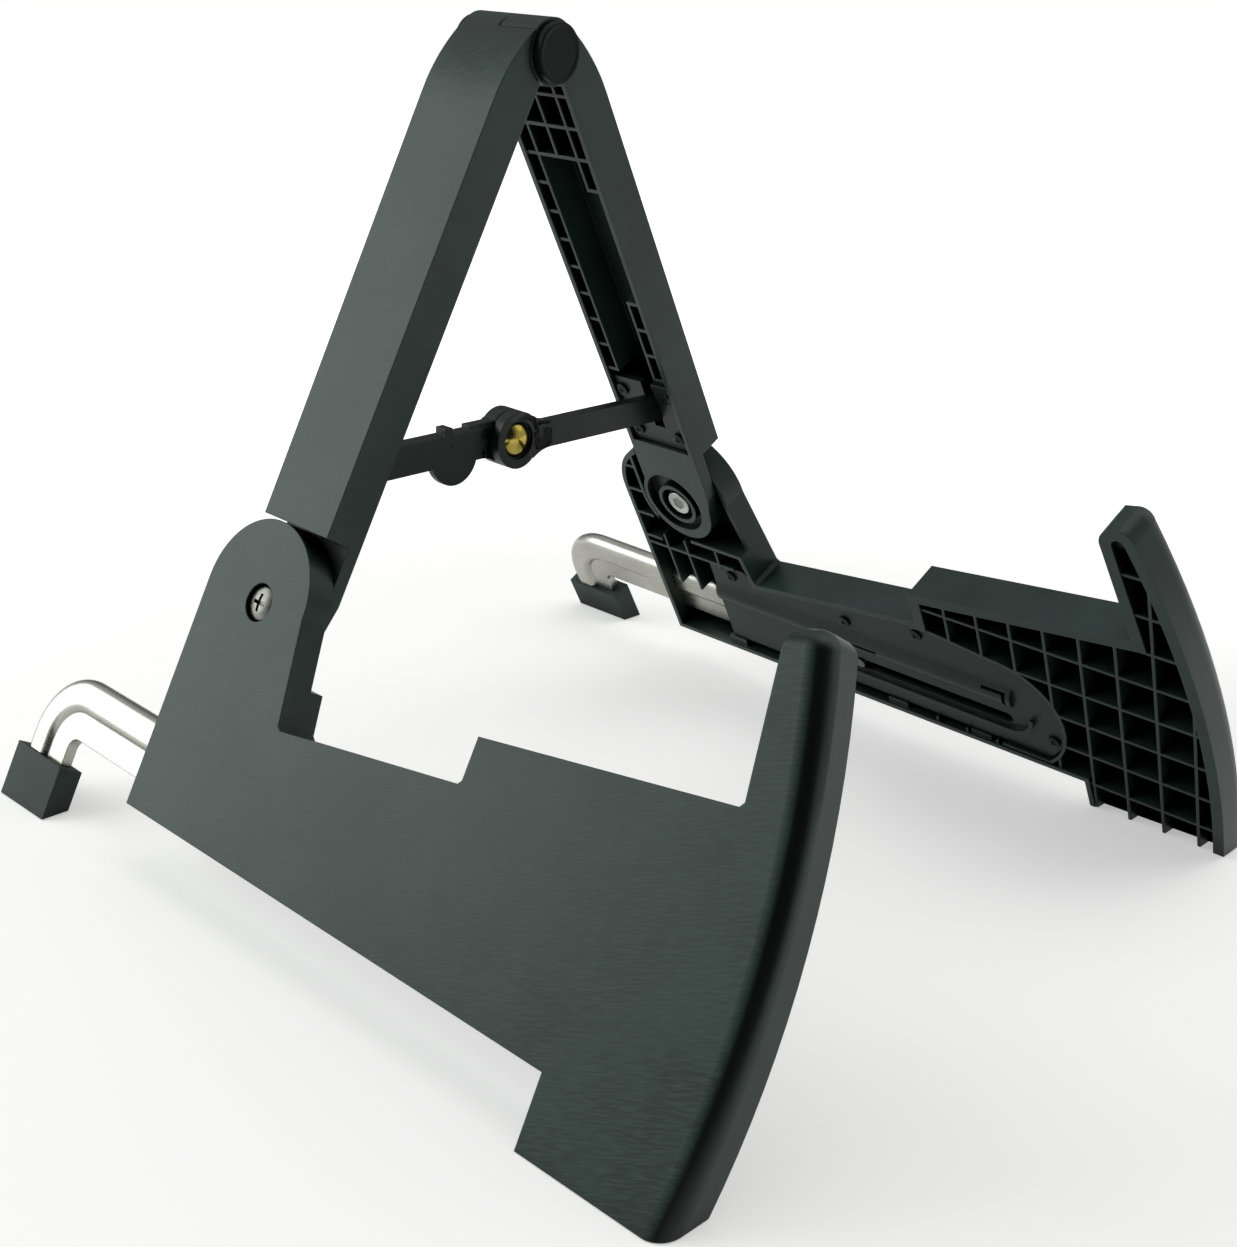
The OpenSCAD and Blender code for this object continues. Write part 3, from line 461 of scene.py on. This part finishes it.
# %% Shell finish
GRAIN_TURN = 24


def shell_material(name, skin, shadow, worn, shade_black):
    """Mix the tone, paint shade on the front band and in the hollows, then set the sheen and the grain's bump."""
    material, tree, shader, place = start_material(name)
    side = use_group(tree, side_space, {"Place": place["Object"], "Facing": place["Normal"]})
    grain = use_group(tree, streaky_grain, {"Place": side["Flat"]}, Turn=math.radians(GRAIN_TURN))
    edges = use_group(tree, soft_edges, Radius=0.6 * MM)
    grained = map_range(tree, side["Faces Out"], 0.9, 0.985, 0, 1, smooth=True)
    clouds = map_range(tree, grain["Cloud"], 0.35, 0.68, 0, 1)
    streaks = calc(tree, "MULTIPLY", map_range(tree, grain["Streak"], 0.42, 0.7, 0, 0.45), grained)
    rubbed = map_range(tree, edges["Edge"], 0, 1, 0, 0.35)
    tone = mix_colour(tree, clouds, shadow, skin)
    tone = mix_colour(tree, streaks, tone, worn)
    tone = mix_colour(tree, rubbed, tone, worn)
    turns_out = map_range(tree, side["Faces Out"], 0.25, 0.6, 0, 1, smooth=True)
    not_flat = map_range(tree, side["Faces Out"], 0.86, 0.985, 1, 0, smooth=True)
    not_on_top = map_range(tree, side["Faces Up"], 0.3, 0.75, 1, 0, smooth=True)
    painted_front_band = calc(tree, "MULTIPLY", calc(tree, "MULTIPLY", turns_out, not_flat), not_on_top)
    # Painted shade: near black where the rounded front edge mirrors the dark room, and in the hollows between the
    # ribs.
    painted_dark = calc(tree, "MAXIMUM", calc(tree, "MULTIPLY", painted_front_band, 0.9), edges["Hollow"])
    tree.links.new(mix_colour(tree, painted_dark, tone, shade_black), shader.inputs["Base Color"])
    rough = map_range(tree, grain["Streak"], 0.3, 0.7, 0.36, 0.46)
    tree.links.new(blend_value(tree, grained, 0.34, rough), shader.inputs["Roughness"])
    height = blend_value(tree, grained, grain["Speck"], grain["Streak"])
    add_bump(tree, shader, height, 0.08 * MM, 0.3, edges["Normal"])
    shader.inputs["Specular IOR Level"].default_value = 0.36
    print("finish", name)
    return material


shell = shell_material("shell_plastic", rgb(48, 68, 63), rgb(39, 57, 52), rgb(74, 96, 89), rgb(4, 6, 6))

# %% [markdown]
# The cover, brace and caps are the same plastic without the streaks: smooth mouldings with a fine
# speckle and painted shade in their corners. The feet are rubber, lighter and duller, with the same painted
# shade. Each could have a finish of its own, but they differ only in their numbers, so one builder makes them all.

# %% Plain mouldings and rubber


def plain_material(name, skin, shadow, worn, roughness, gloss, speck, radius):
    """Clouded tone, lighter edges and painted shade in the hollows, with a bump whose height is speck."""
    material, tree, shader, place = start_material(name)
    grain = use_group(tree, streaky_grain, {"Place": place["Object"]}, Length=900.0)
    edges = use_group(tree, soft_edges, Radius=radius)
    tone = mix_colour(tree, map_range(tree, grain["Cloud"], 0.35, 0.68, 0, 1), shadow, skin)
    tone = mix_colour(tree, map_range(tree, edges["Edge"], 0, 1, 0, 0.4), tone, worn)
    # Painted shade: the hollows are darkened towards near black.
    tone = mix_colour(tree, map_range(tree, edges["Hollow"], 0, 1, 0, 0.85), tone, rgb(9, 11, 11))
    tree.links.new(tone, shader.inputs["Base Color"])
    rough = map_range(tree, grain["Speck"], 0.3, 0.7, roughness - 0.05, roughness + 0.07)
    tree.links.new(rough, shader.inputs["Roughness"])
    add_bump(tree, shader, grain["Speck"], speck, 0.3, edges["Normal"])
    shader.inputs["Specular IOR Level"].default_value = gloss
    print("finish", name)
    return material


fitting = plain_material("fitting_plastic", rgb(32, 47, 44), rgb(25, 38, 35), rgb(52, 76, 70),
                         roughness=0.38, gloss=0.38, speck=0.04 * MM, radius=0.5 * MM)
cap_plastic = plain_material("cap_plastic", rgb(18, 31, 28), rgb(14, 25, 23), rgb(44, 62, 57),
                             roughness=0.45, gloss=0.18, speck=0.04 * MM, radius=0.4 * MM)
rubber = plain_material("foot_rubber", rgb(54, 69, 66), rgb(42, 56, 53), rgb(80, 97, 93),
                        roughness=0.6, gloss=0.4, speck=0.1 * MM, radius=0.9 * MM)

# %% [markdown]
# The legs are polished light metal. Fine lines run along the bar from drawing it, so the roughness
# changes in streaks, and the reflections of the room stay a little soft. An anisotropic shader could
# stretch them too, but it needs a direction at every point, which the frame's nodes don't carry. The
# screws, the nut and the brass rivet take the same builder with their own colours.

# %% Metals
DRAWN_TURN = 90


def metal_material(name, colour, dim, roughness, streak, radius):
    """Clouded metal with painted shade in its hollows; its roughness rises by streak along fine drawn lines."""
    material, tree, shader, place = start_material(name)
    shader.inputs["Metallic"].default_value = 1.0
    grain = use_group(tree, streaky_grain, {"Place": place["Object"]}, Turn=math.radians(DRAWN_TURN))
    edges = use_group(tree, soft_edges, Radius=radius)
    tone = mix_colour(tree, map_range(tree, grain["Cloud"], 0.3, 0.75, 0, 1), dim, colour)
    # Painted shade: the hollows are darkened towards a dull grey.
    tone = mix_colour(tree, map_range(tree, edges["Hollow"], 0, 1, 0, 0.6), tone, rgb(50, 50, 48))
    tree.links.new(tone, shader.inputs["Base Color"])
    rough = map_range(tree, grain["Streak"], 0.3, 0.7, roughness, roughness + streak)
    tree.links.new(rough, shader.inputs["Roughness"])
    add_bump(tree, shader, grain["Streak"], 0.02 * MM, 0.2, edges["Normal"])
    print("finish", name)
    return material


bright = metal_material("bright_metal", rgb(205, 204, 196), rgb(182, 181, 173), 0.24, 0.1, 0.8 * MM)
steel = metal_material("screw_steel", rgb(150, 150, 142), rgb(112, 112, 105), 0.22, 0.12, 0.3 * MM)
dark_steel = metal_material("blackened_steel", rgb(66, 69, 67), rgb(44, 47, 46), 0.34, 0.12, 0.3 * MM)
nut_metal = metal_material("nut_metal", rgb(215, 217, 212), rgb(170, 172, 168), 0.2, 0.1, 0.3 * MM)
brass = metal_material("rivet_brass", rgb(214, 196, 104), rgb(178, 158, 74), 0.1, 0.1, 0.4 * MM)

# %% [markdown]
# The frame's own nodes have the right shapes, so they keep their meshes and only take a finish. Their
# record names a material slot for each, which is enough for most of them. The smooth mouldings share a
# slot with the grained shells, and the nut one with the screws, so those are told apart by name.

# %% Finishes on the frame's nodes
finishes = {"shell_plastic": shell, "bright_metal": bright, "foot_rubber": rubber, "screw_steel": steel,
            "rivet_brass": brass}
smooth_mouldings = ("leg_cover", "brace_bracket", "brace_link", "_cap")
for part in frame["record"]["subparts"]:
    node = nodes[part["node"]]
    finish = finishes[part["material_slot"]]
    if node.name.endswith(smooth_mouldings):
        finish = fitting
    if node.name.endswith("pivot_nut"):
        finish = nut_metal
    node.data.materials.clear()
    node.data.materials.append(finish)

# %% [markdown]
# The small pieces come next. These are turned or moulded parts with crisp edges, so sculpting would be
# too soft, and inset, bevel and a few cuts are enough. Each starts as a blank of its real size, at the
# origin with its axis upright, because that is where it is easiest to shape. The first is the round cap
# at each end of the top hinge. The frame's own node gives its radius, its thickness and its place.

# %% Blanks of the hinge's caps


def aim_frame(origin, outward):
    """Frame at a point with its third axis along outward."""
    out = Vector(outward).normalized()
    across = Vector((0, 0, 1)).cross(out).normalized()
    return Matrix.Translation(origin) @ Matrix((across, out.cross(across), out)).transposed().to_4x4()


def ends_of(places):
    """Lowest and highest corner of the box round some places."""
    return [Vector([end(place[i] for place in places) for i in range(3)]) for end in (min, max)]


def reach_of(node, frame_of_piece):
    """Lowest and highest corner of one of the frame's nodes, along a frame's own axes."""
    back = frame_of_piece.inverted()
    return ends_of([back @ vertex.co for vertex in nodes[node].data.vertices])


def start_round(name, radius, low, high, vertices=48):
    bpy.ops.object.select_all(action="DESELECT")
    bpy.ops.mesh.primitive_cylinder_add(vertices=vertices, radius=radius, depth=high - low,
                                        location=(0, 0, (low + high) / 2))
    piece = bpy.context.object
    piece.name = piece.data.name = name
    bpy.ops.object.transform_apply()
    return piece


hinge = joints["apex_hinge"]
caps = {}
for name, way in (("apex_front_cap", -1), ("apex_rear_cap", 1)):
    at = aim_frame(hinge["pos_m"], Vector(hinge["axis"]) * way)
    low, high = reach_of(name, at)
    caps[name] = (start_round(name + "_disc", high.x, low.z, high.z, vertices=64), at, high)
    print(name, "radius", round(high.x / MM, 2), "mm, thickness", round((high.z - low.z) / MM, 2), "mm")

# %% [markdown]
# A cap is a dark moulded disc with a thin raised rim and a rounded edge. It could be cut with a Boolean,
# but an inset keeps the mesh in clean rings: the end face is inset once for the rim and once more,
# pushed in, for the dish. Then the rim's faces are picked by their place and bevelled.

# %% Rims of the caps
CAP_RIM = 1.3 * MM
CAP_SLOPE = 0.35 * MM
CAP_DISH = 0.3 * MM
CAP_EDGE = 0.45 * MM
LEVEL_TOLERANCE = 0.02 * MM


def use_only(piece):
    """Select one piece and make it active, because an operator acts on all that is selected."""
    bpy.ops.object.select_all(action="DESELECT")
    bpy.context.view_layer.objects.active = piece
    piece.select_set(True)


def pick(piece, test, kind="faces"):
    """Edit the piece with only those faces or vertices selected that pass the test on place and normal."""
    use_only(piece)
    bpy.ops.object.mode_set(mode="EDIT")
    bpy.ops.mesh.select_mode(type="FACE" if kind == "faces" else "VERT")
    bpy.ops.mesh.select_all(action="DESELECT")
    shape = bmesh.from_edit_mesh(piece.data)
    for part in getattr(shape, kind):
        place = part.calc_center_median() if kind == "faces" else part.co
        part.select_set(bool(test(place, part.normal)))
    bmesh.update_edit_mesh(piece.data)


def at_height(height):
    """Test for level faces at one height."""
    return lambda place, facing: abs(facing.z) > 0.9 and abs(place.z - height) < LEVEL_TOLERANCE


def bevel_picked(width):
    bpy.ops.mesh.bevel(offset=width, segments=3, affect="EDGES")
    bpy.ops.object.mode_set(mode="OBJECT")


def step_in(piece, height, margins):
    """Inset the end face step by step; each step is a margin and a rise, which may be negative."""
    pick(piece, at_height(height))
    for margin, rise in margins:
        bpy.ops.mesh.inset(thickness=margin, depth=rise)
    bpy.ops.object.mode_set(mode="OBJECT")


for disc, _, high in caps.values():
    step_in(disc, high.z, [(CAP_RIM, 0), (CAP_SLOPE, -CAP_DISH)])
    level = at_height(high.z)
    pick(disc, lambda place, facing: level(place, facing) and place.xy.length > high.x - CAP_RIM)
    bevel_picked(CAP_EDGE)
    print(disc.name, len(disc.data.polygons), "faces")

# %% [markdown]
# A finished piece is settled on the stand in the same way each time. Its place goes into its mesh, so
# that the object itself stays at the origin as the frame's nodes do. Doubles are merged, the faces are
# turned outwards and the round sides are shaded smooth. Then it takes its finish and the body it rides on,
# and the node it stands for is hidden.

# %% Caps in their places


def place_mesh(piece, place):
    use_only(piece)
    piece.matrix_world = place
    bpy.ops.object.transform_apply()


def settle(piece, finish, slot, body, *stands_for):
    """Turn the faces outward, shade the round sides and hand the piece to its body."""
    use_only(piece)
    bpy.ops.object.mode_set(mode="EDIT")
    bpy.ops.mesh.select_all(action="SELECT")
    bpy.ops.mesh.remove_doubles(threshold=1e-6)
    bpy.ops.mesh.normals_make_consistent(inside=False)
    bpy.ops.object.mode_set(mode="OBJECT")
    bpy.ops.object.shade_smooth_by_angle(angle=math.radians(33))
    piece.data.materials.clear()
    piece.data.materials.append(finish)
    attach(piece, body)
    if stands_for:
        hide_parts(*stands_for)
    print(piece.name, len(piece.data.polygons), "faces on", body)


for name, (disc, at, _) in caps.items():
    place_mesh(disc, at)
    settle(disc, cap_plastic, "shell_plastic", "left_arm", name)

# %% [markdown]
# The same small pan-headed screw holds the leg covers and the brace brackets. Its driver's cross is the
# detail that shows. It could be pushed in with insets, but two crossed tapering blocks that are cut out
# give cleaner corners. The cutter is made first: a block whose bottom face is scaled down, once along
# and once across.

# %% Cutter for a cross recess
CROSS_TAPER = (0.55, 0.5, 1)
OVERCUT = 1 * MM


def start_block(name, low, high):
    low, high = Vector(low), Vector(high)
    bpy.ops.object.select_all(action="DESELECT")
    bpy.ops.mesh.primitive_cube_add(size=1, location=(low + high) / 2, scale=high - low)
    piece = bpy.context.object
    piece.name = piece.data.name = name
    bpy.ops.object.transform_apply()
    return piece


def join_up(pieces):
    bpy.ops.object.select_all(action="DESELECT")
    for piece in pieces:
        piece.select_set(True)
    bpy.context.view_layer.objects.active = pieces[0]
    bpy.ops.object.join()
    return bpy.context.object


def cross_cutter(reach, width, top, depth):
    arms = []
    for turn in (0, 90):
        arm = start_block("cutter", (-reach, -width / 2, top - depth), (reach, width / 2, top + OVERCUT))
        pick(arm, lambda place, facing: facing.z < -0.9)
        bpy.ops.transform.resize(value=CROSS_TAPER)
        bpy.ops.object.mode_set(mode="OBJECT")
        place_mesh(arm, Matrix.Rotation(math.radians(turn), 4, "Z"))
        arms.append(arm)
    return join_up(arms)


SCREW_RADIUS = 2.8 * MM
SCREW_HEAD = 1.0 * MM
SCREW_CROWN = 0.5 * MM
CROSS_REACH, CROSS_WIDTH = 1.9 * MM, 0.8 * MM
CROSS_DEPTH = SCREW_CROWN + 0.6 * SCREW_HEAD
cutter = cross_cutter(CROSS_REACH, CROSS_WIDTH, SCREW_HEAD + SCREW_CROWN, CROSS_DEPTH)
print("cutter", [round(c / MM, 2) for c in cutter.dimensions], "mm")

# %% [markdown]
# The screw is modelled once, and each place gets a copy with its own mesh. Its head stands from z = 0 up
# to a low crown, made of insets that get narrower towards the middle, and its shank is drawn out of the
# underside by an inset with hardly any margin. A turned outline would do as well, but then the head and
# the shank would need their own points.

# %% One small screw
SHANK_RADIUS = 1.2 * MM
SHANK_LENGTH = 7 * MM
CROWN_STEPS = 5
CROWN_SHARE = 0.792
LEAST_MARGIN = 0.0001 * MM


def combine(piece, other, operation):
    """Cut the other piece out of the first, or add it, and remove the other piece."""
    use_only(piece)
    step = piece.modifiers.new("step", "BOOLEAN")
    step.operation = operation
    step.object = other
    step.use_self = True
    bpy.ops.object.modifier_apply(modifier=step.name)
    bpy.data.objects.remove(other)


pattern = start_round("small_screw", SCREW_RADIUS, 0, SCREW_HEAD)
turns = [step * math.pi / 2 / CROWN_STEPS for step in range(CROWN_STEPS + 1)]
shares = [math.sin(after) - math.sin(before) for before, after in zip(turns, turns[1:])]
step_in(pattern, SCREW_HEAD, [(CROWN_SHARE * SCREW_RADIUS * share, SCREW_CROWN * share) for share in shares])
step_in(pattern, 0, [(SCREW_RADIUS - SHANK_RADIUS, 0), (LEAST_MARGIN, SHANK_LENGTH)])
combine(pattern, cutter, "DIFFERENCE")
print("small screw", len(pattern.data.polygons), "faces")

# %% [markdown]
# Each frame node holds four screws, so their places are read from its points: those that lie close
# together, seen along the side's outward axis, belong to one screw. The places could be typed in, but
# then they would be wrong as soon as the frame changes.

# %% Screws in their places
SCREW_APART = 6.5 * MM


def screw_places(node, frame_of_side):
    """Middle of each of a node's screws at its inner end, in the side's axes."""
    back = frame_of_side.inverted()
    groups = []
    for vertex in nodes[node].data.vertices:
        place = back @ vertex.co
        near = next((group for group in groups if (group[0].xy - place.xy).length < SCREW_APART), None)
        if near is None:
            groups.append([place])
        else:
            near.append(place)
    places = []
    for group in groups:
        low, high = ends_of(group)
        middle = (low + high) / 2
        places.append(Vector((middle.x, middle.y, low.z)))
    return places


for side in SIDES:
    at = side_frames[side]
    inward = -at.col[2].to_3d()
    for part, body in (("cover_screws", f"{side}_base"), ("bracket_screws", f"{side}_arm")):
        copies = []
        for place in screw_places(f"{side}_{part}", at):
            screw = pattern.copy()
            screw.data = pattern.data.copy()
            bpy.context.scene.collection.objects.link(screw)
            seat = place + Vector((0, 0, SCREW_HEAD + SCREW_CROWN))
            place_mesh(screw, aim_frame(at @ seat, inward))
            copies.append(screw)
        joined = join_up(copies)
        joined.name = joined.data.name = f"{side}_{part}_heads"
        settle(joined, dark_steel, "screw_steel", body, f"{side}_{part}")
bpy.data.objects.remove(pattern)

# %% [markdown]
# A nut holds the pivot screw from inside. Only its end shows, deep in its pocket: a bright thin ring
# round a dark six-sided socket. The dark could be painted on, but a real cut keeps it right from every
# side: a short cylinder with a rounded rim, a shallow step and a six-sided hole that is deep enough to
# stay dark.

# %% Pivot nuts
NUT_EDGE = 0.5 * MM
NUT_FACE = 0.5 * MM
NUT_SLOPE = 0.4 * MM
NUT_DISH = 0.25 * MM
SOCKET_SHARE = 0.56
SOCKET_DEPTH_SHARE = 0.9
for side in SIDES:
    node = f"{side}_pivot_nut"
    at = aim_frame(side_frames[side].translation, -side_frames[side].col[2].to_3d())
    low, high = reach_of(node, at)
    nut = start_round(node + "_ring", high.x, low.z, high.z, vertices=64)
    pick(nut, at_height(high.z))
    bevel_picked(NUT_EDGE)
    step_in(nut, high.z, [(NUT_FACE, 0), (NUT_SLOPE, -NUT_DISH)])
    depth = (high.z - low.z) * SOCKET_DEPTH_SHARE
    socket = start_round("socket", SOCKET_SHARE * high.x, high.z - depth, high.z + depth, vertices=6)
    combine(nut, socket, "DIFFERENCE")
    place_mesh(nut, at)
    settle(nut, nut_metal, "screw_steel", f"{side}_base", node)

# %% [markdown]
# The brace that joins the arms is two flat moulded bars on a brass rivet. They could be drawn as an
# outline and extruded, but their eyes, necks and lobes are simple solids, so blocks and rods that are
# joined stay easier to change. A frame half way between the two link pins, with its first axis across
# the stand and its second to the rear, lets both bars be built level.

# %% Frame of the brace
pins = {side: Vector(joints[f"{side}_link_fold"]["pos_m"]) for side in SIDES}
across_way = Vector((1, 0, 0))
rear_way = Vector(hinge["axis"])
brace_axes = Matrix((across_way, rear_way, across_way.cross(rear_way))).transposed()
brace_frame = Matrix.Translation((pins["left"] + pins["right"]) / 2) @ brace_axes.to_4x4()
half = (pins["right"] - pins["left"]).length / 2
print("brace half length", round(half / MM, 2), "mm")

# %% [markdown]
# Each bar's neck flares into its round eye. The neck is a block that is divided along its length and
# scaled row by row, so that its height falls off in a hollow curve. A narrow bevel over the whole bar
# comes last and gives the soft edges that catch the light.

# %% Rods, necks and soft edges
NECK_ROWS = 8
NECK_CURVE = 2.2
BAR_EDGE = 0.35 * MM


def rod_across(name, radius, front, rear, x=0.0, z=0.0, vertices=64):
    """Cylinder along the brace's rivet axis, from front to rear."""
    rod = start_round(name, radius, front, rear, vertices)
    place_mesh(rod, Matrix.Translation((x, 0, z)) @ Matrix.Rotation(math.radians(-90), 4, "X"))
    return rod


def flared_neck(name, way, front, rear, start, end, wide, narrow):
    """Block from the eye to the bar whose height falls off in a hollow curve."""
    ends = sorted((way * start, way * end))
    neck = start_block(name, (ends[0], front, -narrow / 2), (ends[1], rear, narrow / 2))
    bpy.ops.object.mode_set(mode="EDIT")
    bpy.ops.mesh.select_all(action="SELECT")
    bpy.ops.mesh.subdivide(number_cuts=NECK_ROWS - 1)
    bpy.ops.object.mode_set(mode="OBJECT")
    for row in range(NECK_ROWS + 1):
        x = way * (start + (end - start) * row / NECK_ROWS)
        flare = (wide / narrow - 1) * (1 - row / NECK_ROWS) ** NECK_CURVE
        pick(neck, lambda place, facing: abs(place.x - x) < 1e-6, "verts")
        bpy.ops.transform.resize(value=(1, 1, 1 + flare), center_override=(x, 0, 0))
        bpy.ops.object.mode_set(mode="OBJECT")
    return neck


def soften(piece, width):
    """Bevel every edge that turns by more than 35 degrees."""
    use_only(piece)
    soft = piece.modifiers.new("soft", "BEVEL")
    soft.width = width
    soft.segments = 2
    soft.limit_method = "ANGLE"
    soft.angle_limit = math.radians(35)
    bpy.ops.object.modifier_apply(modifier=soft.name)


rivet_radius = reach_of("brace_rivet", brace_frame)[1].x
print("rivet radius", round(rivet_radius / MM, 2), "mm")

# %% Front bar of the brace
EYE_RADIUS = 10.4 * MM
NECK_START = 7.6 * MM
NECK_LOWER_BY = 0.02 * MM
PIN_HOLE = 1.75 * MM
SEAT_MARGIN = 0.7 * MM
SEAT_DEPTH = 1.6 * MM
tall = 9.8 * MM
low, high = reach_of("right_brace_link", brace_frame)
front, rear = low.y, high.y
front_bar = start_block("front_brace_bar", (0, front, -tall / 2), (half, rear, tall / 2))
eye = rod_across("eye", EYE_RADIUS, front, rear)
end = rod_across("end", tall / 2, front, rear, half)
neck = flared_neck("neck", 1, front, rear, start=NECK_START, end=17 * MM,
                   wide=15.6 * MM, narrow=tall - NECK_LOWER_BY)
for other in (eye, end, neck):
    combine(front_bar, other, "UNION")
seat = rod_across("seat", rivet_radius + SEAT_MARGIN, front - OVERCUT, front + SEAT_DEPTH)
combine(front_bar, seat, "DIFFERENCE")
hole = rod_across("pin_hole", PIN_HOLE, front - OVERCUT, rear + OVERCUT, half, vertices=24)
combine(front_bar, hole, "DIFFERENCE")
soften(front_bar, BAR_EDGE)
place_mesh(front_bar, brace_frame)
settle(front_bar, fitting, "shell_plastic", "right_link", "right_brace_link")

# %% [markdown]
# The rear bar is a little taller. A half-round finger lobe hangs from it, to fold the brace by, a stop
# tooth stands up above the lobe, and a low ledge runs from there towards the eye. The lobe could be
# half of a spun outline, but a disc that a block trims flat is quicker. The rest is made as before.

# %% Rear bar of the brace
LOBE_X = 27 * MM
LOBE_RADIUS = 11 * MM
LOBE_THICK = 3 * MM
LOBE_DROP = 2 * MM
TOOTH_START, TOOTH_END = LOBE_X + 4.4 * MM, LOBE_X + 1 * MM
TOOTH_DEPTH, TOOTH_RISE = 5.4 * MM, 2.6 * MM
LEDGE_START, LEDGE_END = 20 * MM, 8 * MM
LEDGE_DEPTH, LEDGE_RISE = 4.4 * MM, 2 * MM
tall = 11 * MM
low, high = reach_of("left_brace_link", brace_frame)
front, rear = low.y, high.y
rear_bar = start_block("rear_brace_bar", (-half, front, -tall / 2), (0, rear, tall / 2))
lobe = rod_across("lobe", LOBE_RADIUS, front, front + LOBE_THICK, -LOBE_X, -LOBE_DROP)
trim = start_block("trim", (-2 * LOBE_X, front - OVERCUT, 0), (0, rear + OVERCUT, 2 * LOBE_RADIUS))
combine(lobe, trim, "DIFFERENCE")
tooth = start_block("tooth", (-TOOTH_START, front, 0),
                    (-TOOTH_END, front + TOOTH_DEPTH, tall / 2 + TOOTH_RISE))
ledge = start_block("ledge", (-LEDGE_START, front, 0),
                    (-LEDGE_END, front + LEDGE_DEPTH, tall / 2 + LEDGE_RISE))
eye = rod_across("eye", EYE_RADIUS, front, rear)
end = rod_across("end", tall / 2, front, rear, -half)
neck = flared_neck("neck", -1, front, rear, start=NECK_START, end=14 * MM,
                   wide=15.2 * MM, narrow=tall - NECK_LOWER_BY)
for other in (eye, end, neck, lobe, tooth, ledge):
    combine(rear_bar, other, "UNION")
hole = rod_across("pin_hole", PIN_HOLE, front - OVERCUT, rear + OVERCUT, -half, vertices=24)
combine(rear_bar, hole, "DIFFERENCE")
soften(rear_bar, BAR_EDGE)
place_mesh(rear_bar, brace_frame)
settle(rear_bar, fitting, "shell_plastic", "left_link", "left_brace_link")

# %% [markdown]
# The hook's inner edge stays sharp right up to its tip, while the outer edge is rounded. The frame's tip
# is a ball, so a small fairing carries the sharp edge over it. It could be a subdivided cage, but the
# form is exactly what an upright cylinder and a lying one of the same radius have in common. It covers
# the half of the ball that faces the guitar, and it has the shell's own finish.

# %% Fairing at each hook's tip
HOOK_LEAN = math.radians(12.5)
HOOK_FROM = -190 * MM
CRADLE_FROM = -150 * MM
TIP_RADIUS = 7 * MM
BALL_PROUD = 0.05 * MM
PAST_MIDDLE = 0.3 * MM
for side in SIDES:
    at = side_frames[side]
    back = at.inverted()
    places = [back @ vertex.co for vertex in nodes[f"{side}_base_shell"].data.vertices]
    top = max((place for place in places if place.x < HOOK_FROM), key=lambda place: place.y)
    skin = max(place.z for place in places if place.x > CRADLE_FROM)
    middle = Vector((top.x, top.y - TIP_RADIUS - BALL_PROUD, skin - TIP_RADIUS))
    fairing = start_round(f"{side}_hook_fairing", TIP_RADIUS, -TIP_RADIUS, TIP_RADIUS, vertices=96)
    lying = start_round("lying", TIP_RADIUS, PAST_MIDDLE, TIP_RADIUS + OVERCUT, vertices=96)
    place_mesh(lying, Matrix.Rotation(math.radians(90), 4, "Y"))
    combine(fairing, lying, "INTERSECT")
    place_mesh(fairing, at @ Matrix.Translation(middle) @ Matrix.Rotation(-HOOK_LEAN, 4, "Z"))
    settle(fairing, shell, "shell_plastic", f"{side}_base")
    print(side, "tip at", [round(c / MM, 2) for c in middle])

# %% [markdown]
# The last cell prints the size of the dressed stand's box.

# %% Sizes and end
dressed_size = [round((high - low) / MM, 1) for low, high in zip(*as_lists(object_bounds()))]
print("dressed stand", dressed_size, "mm")
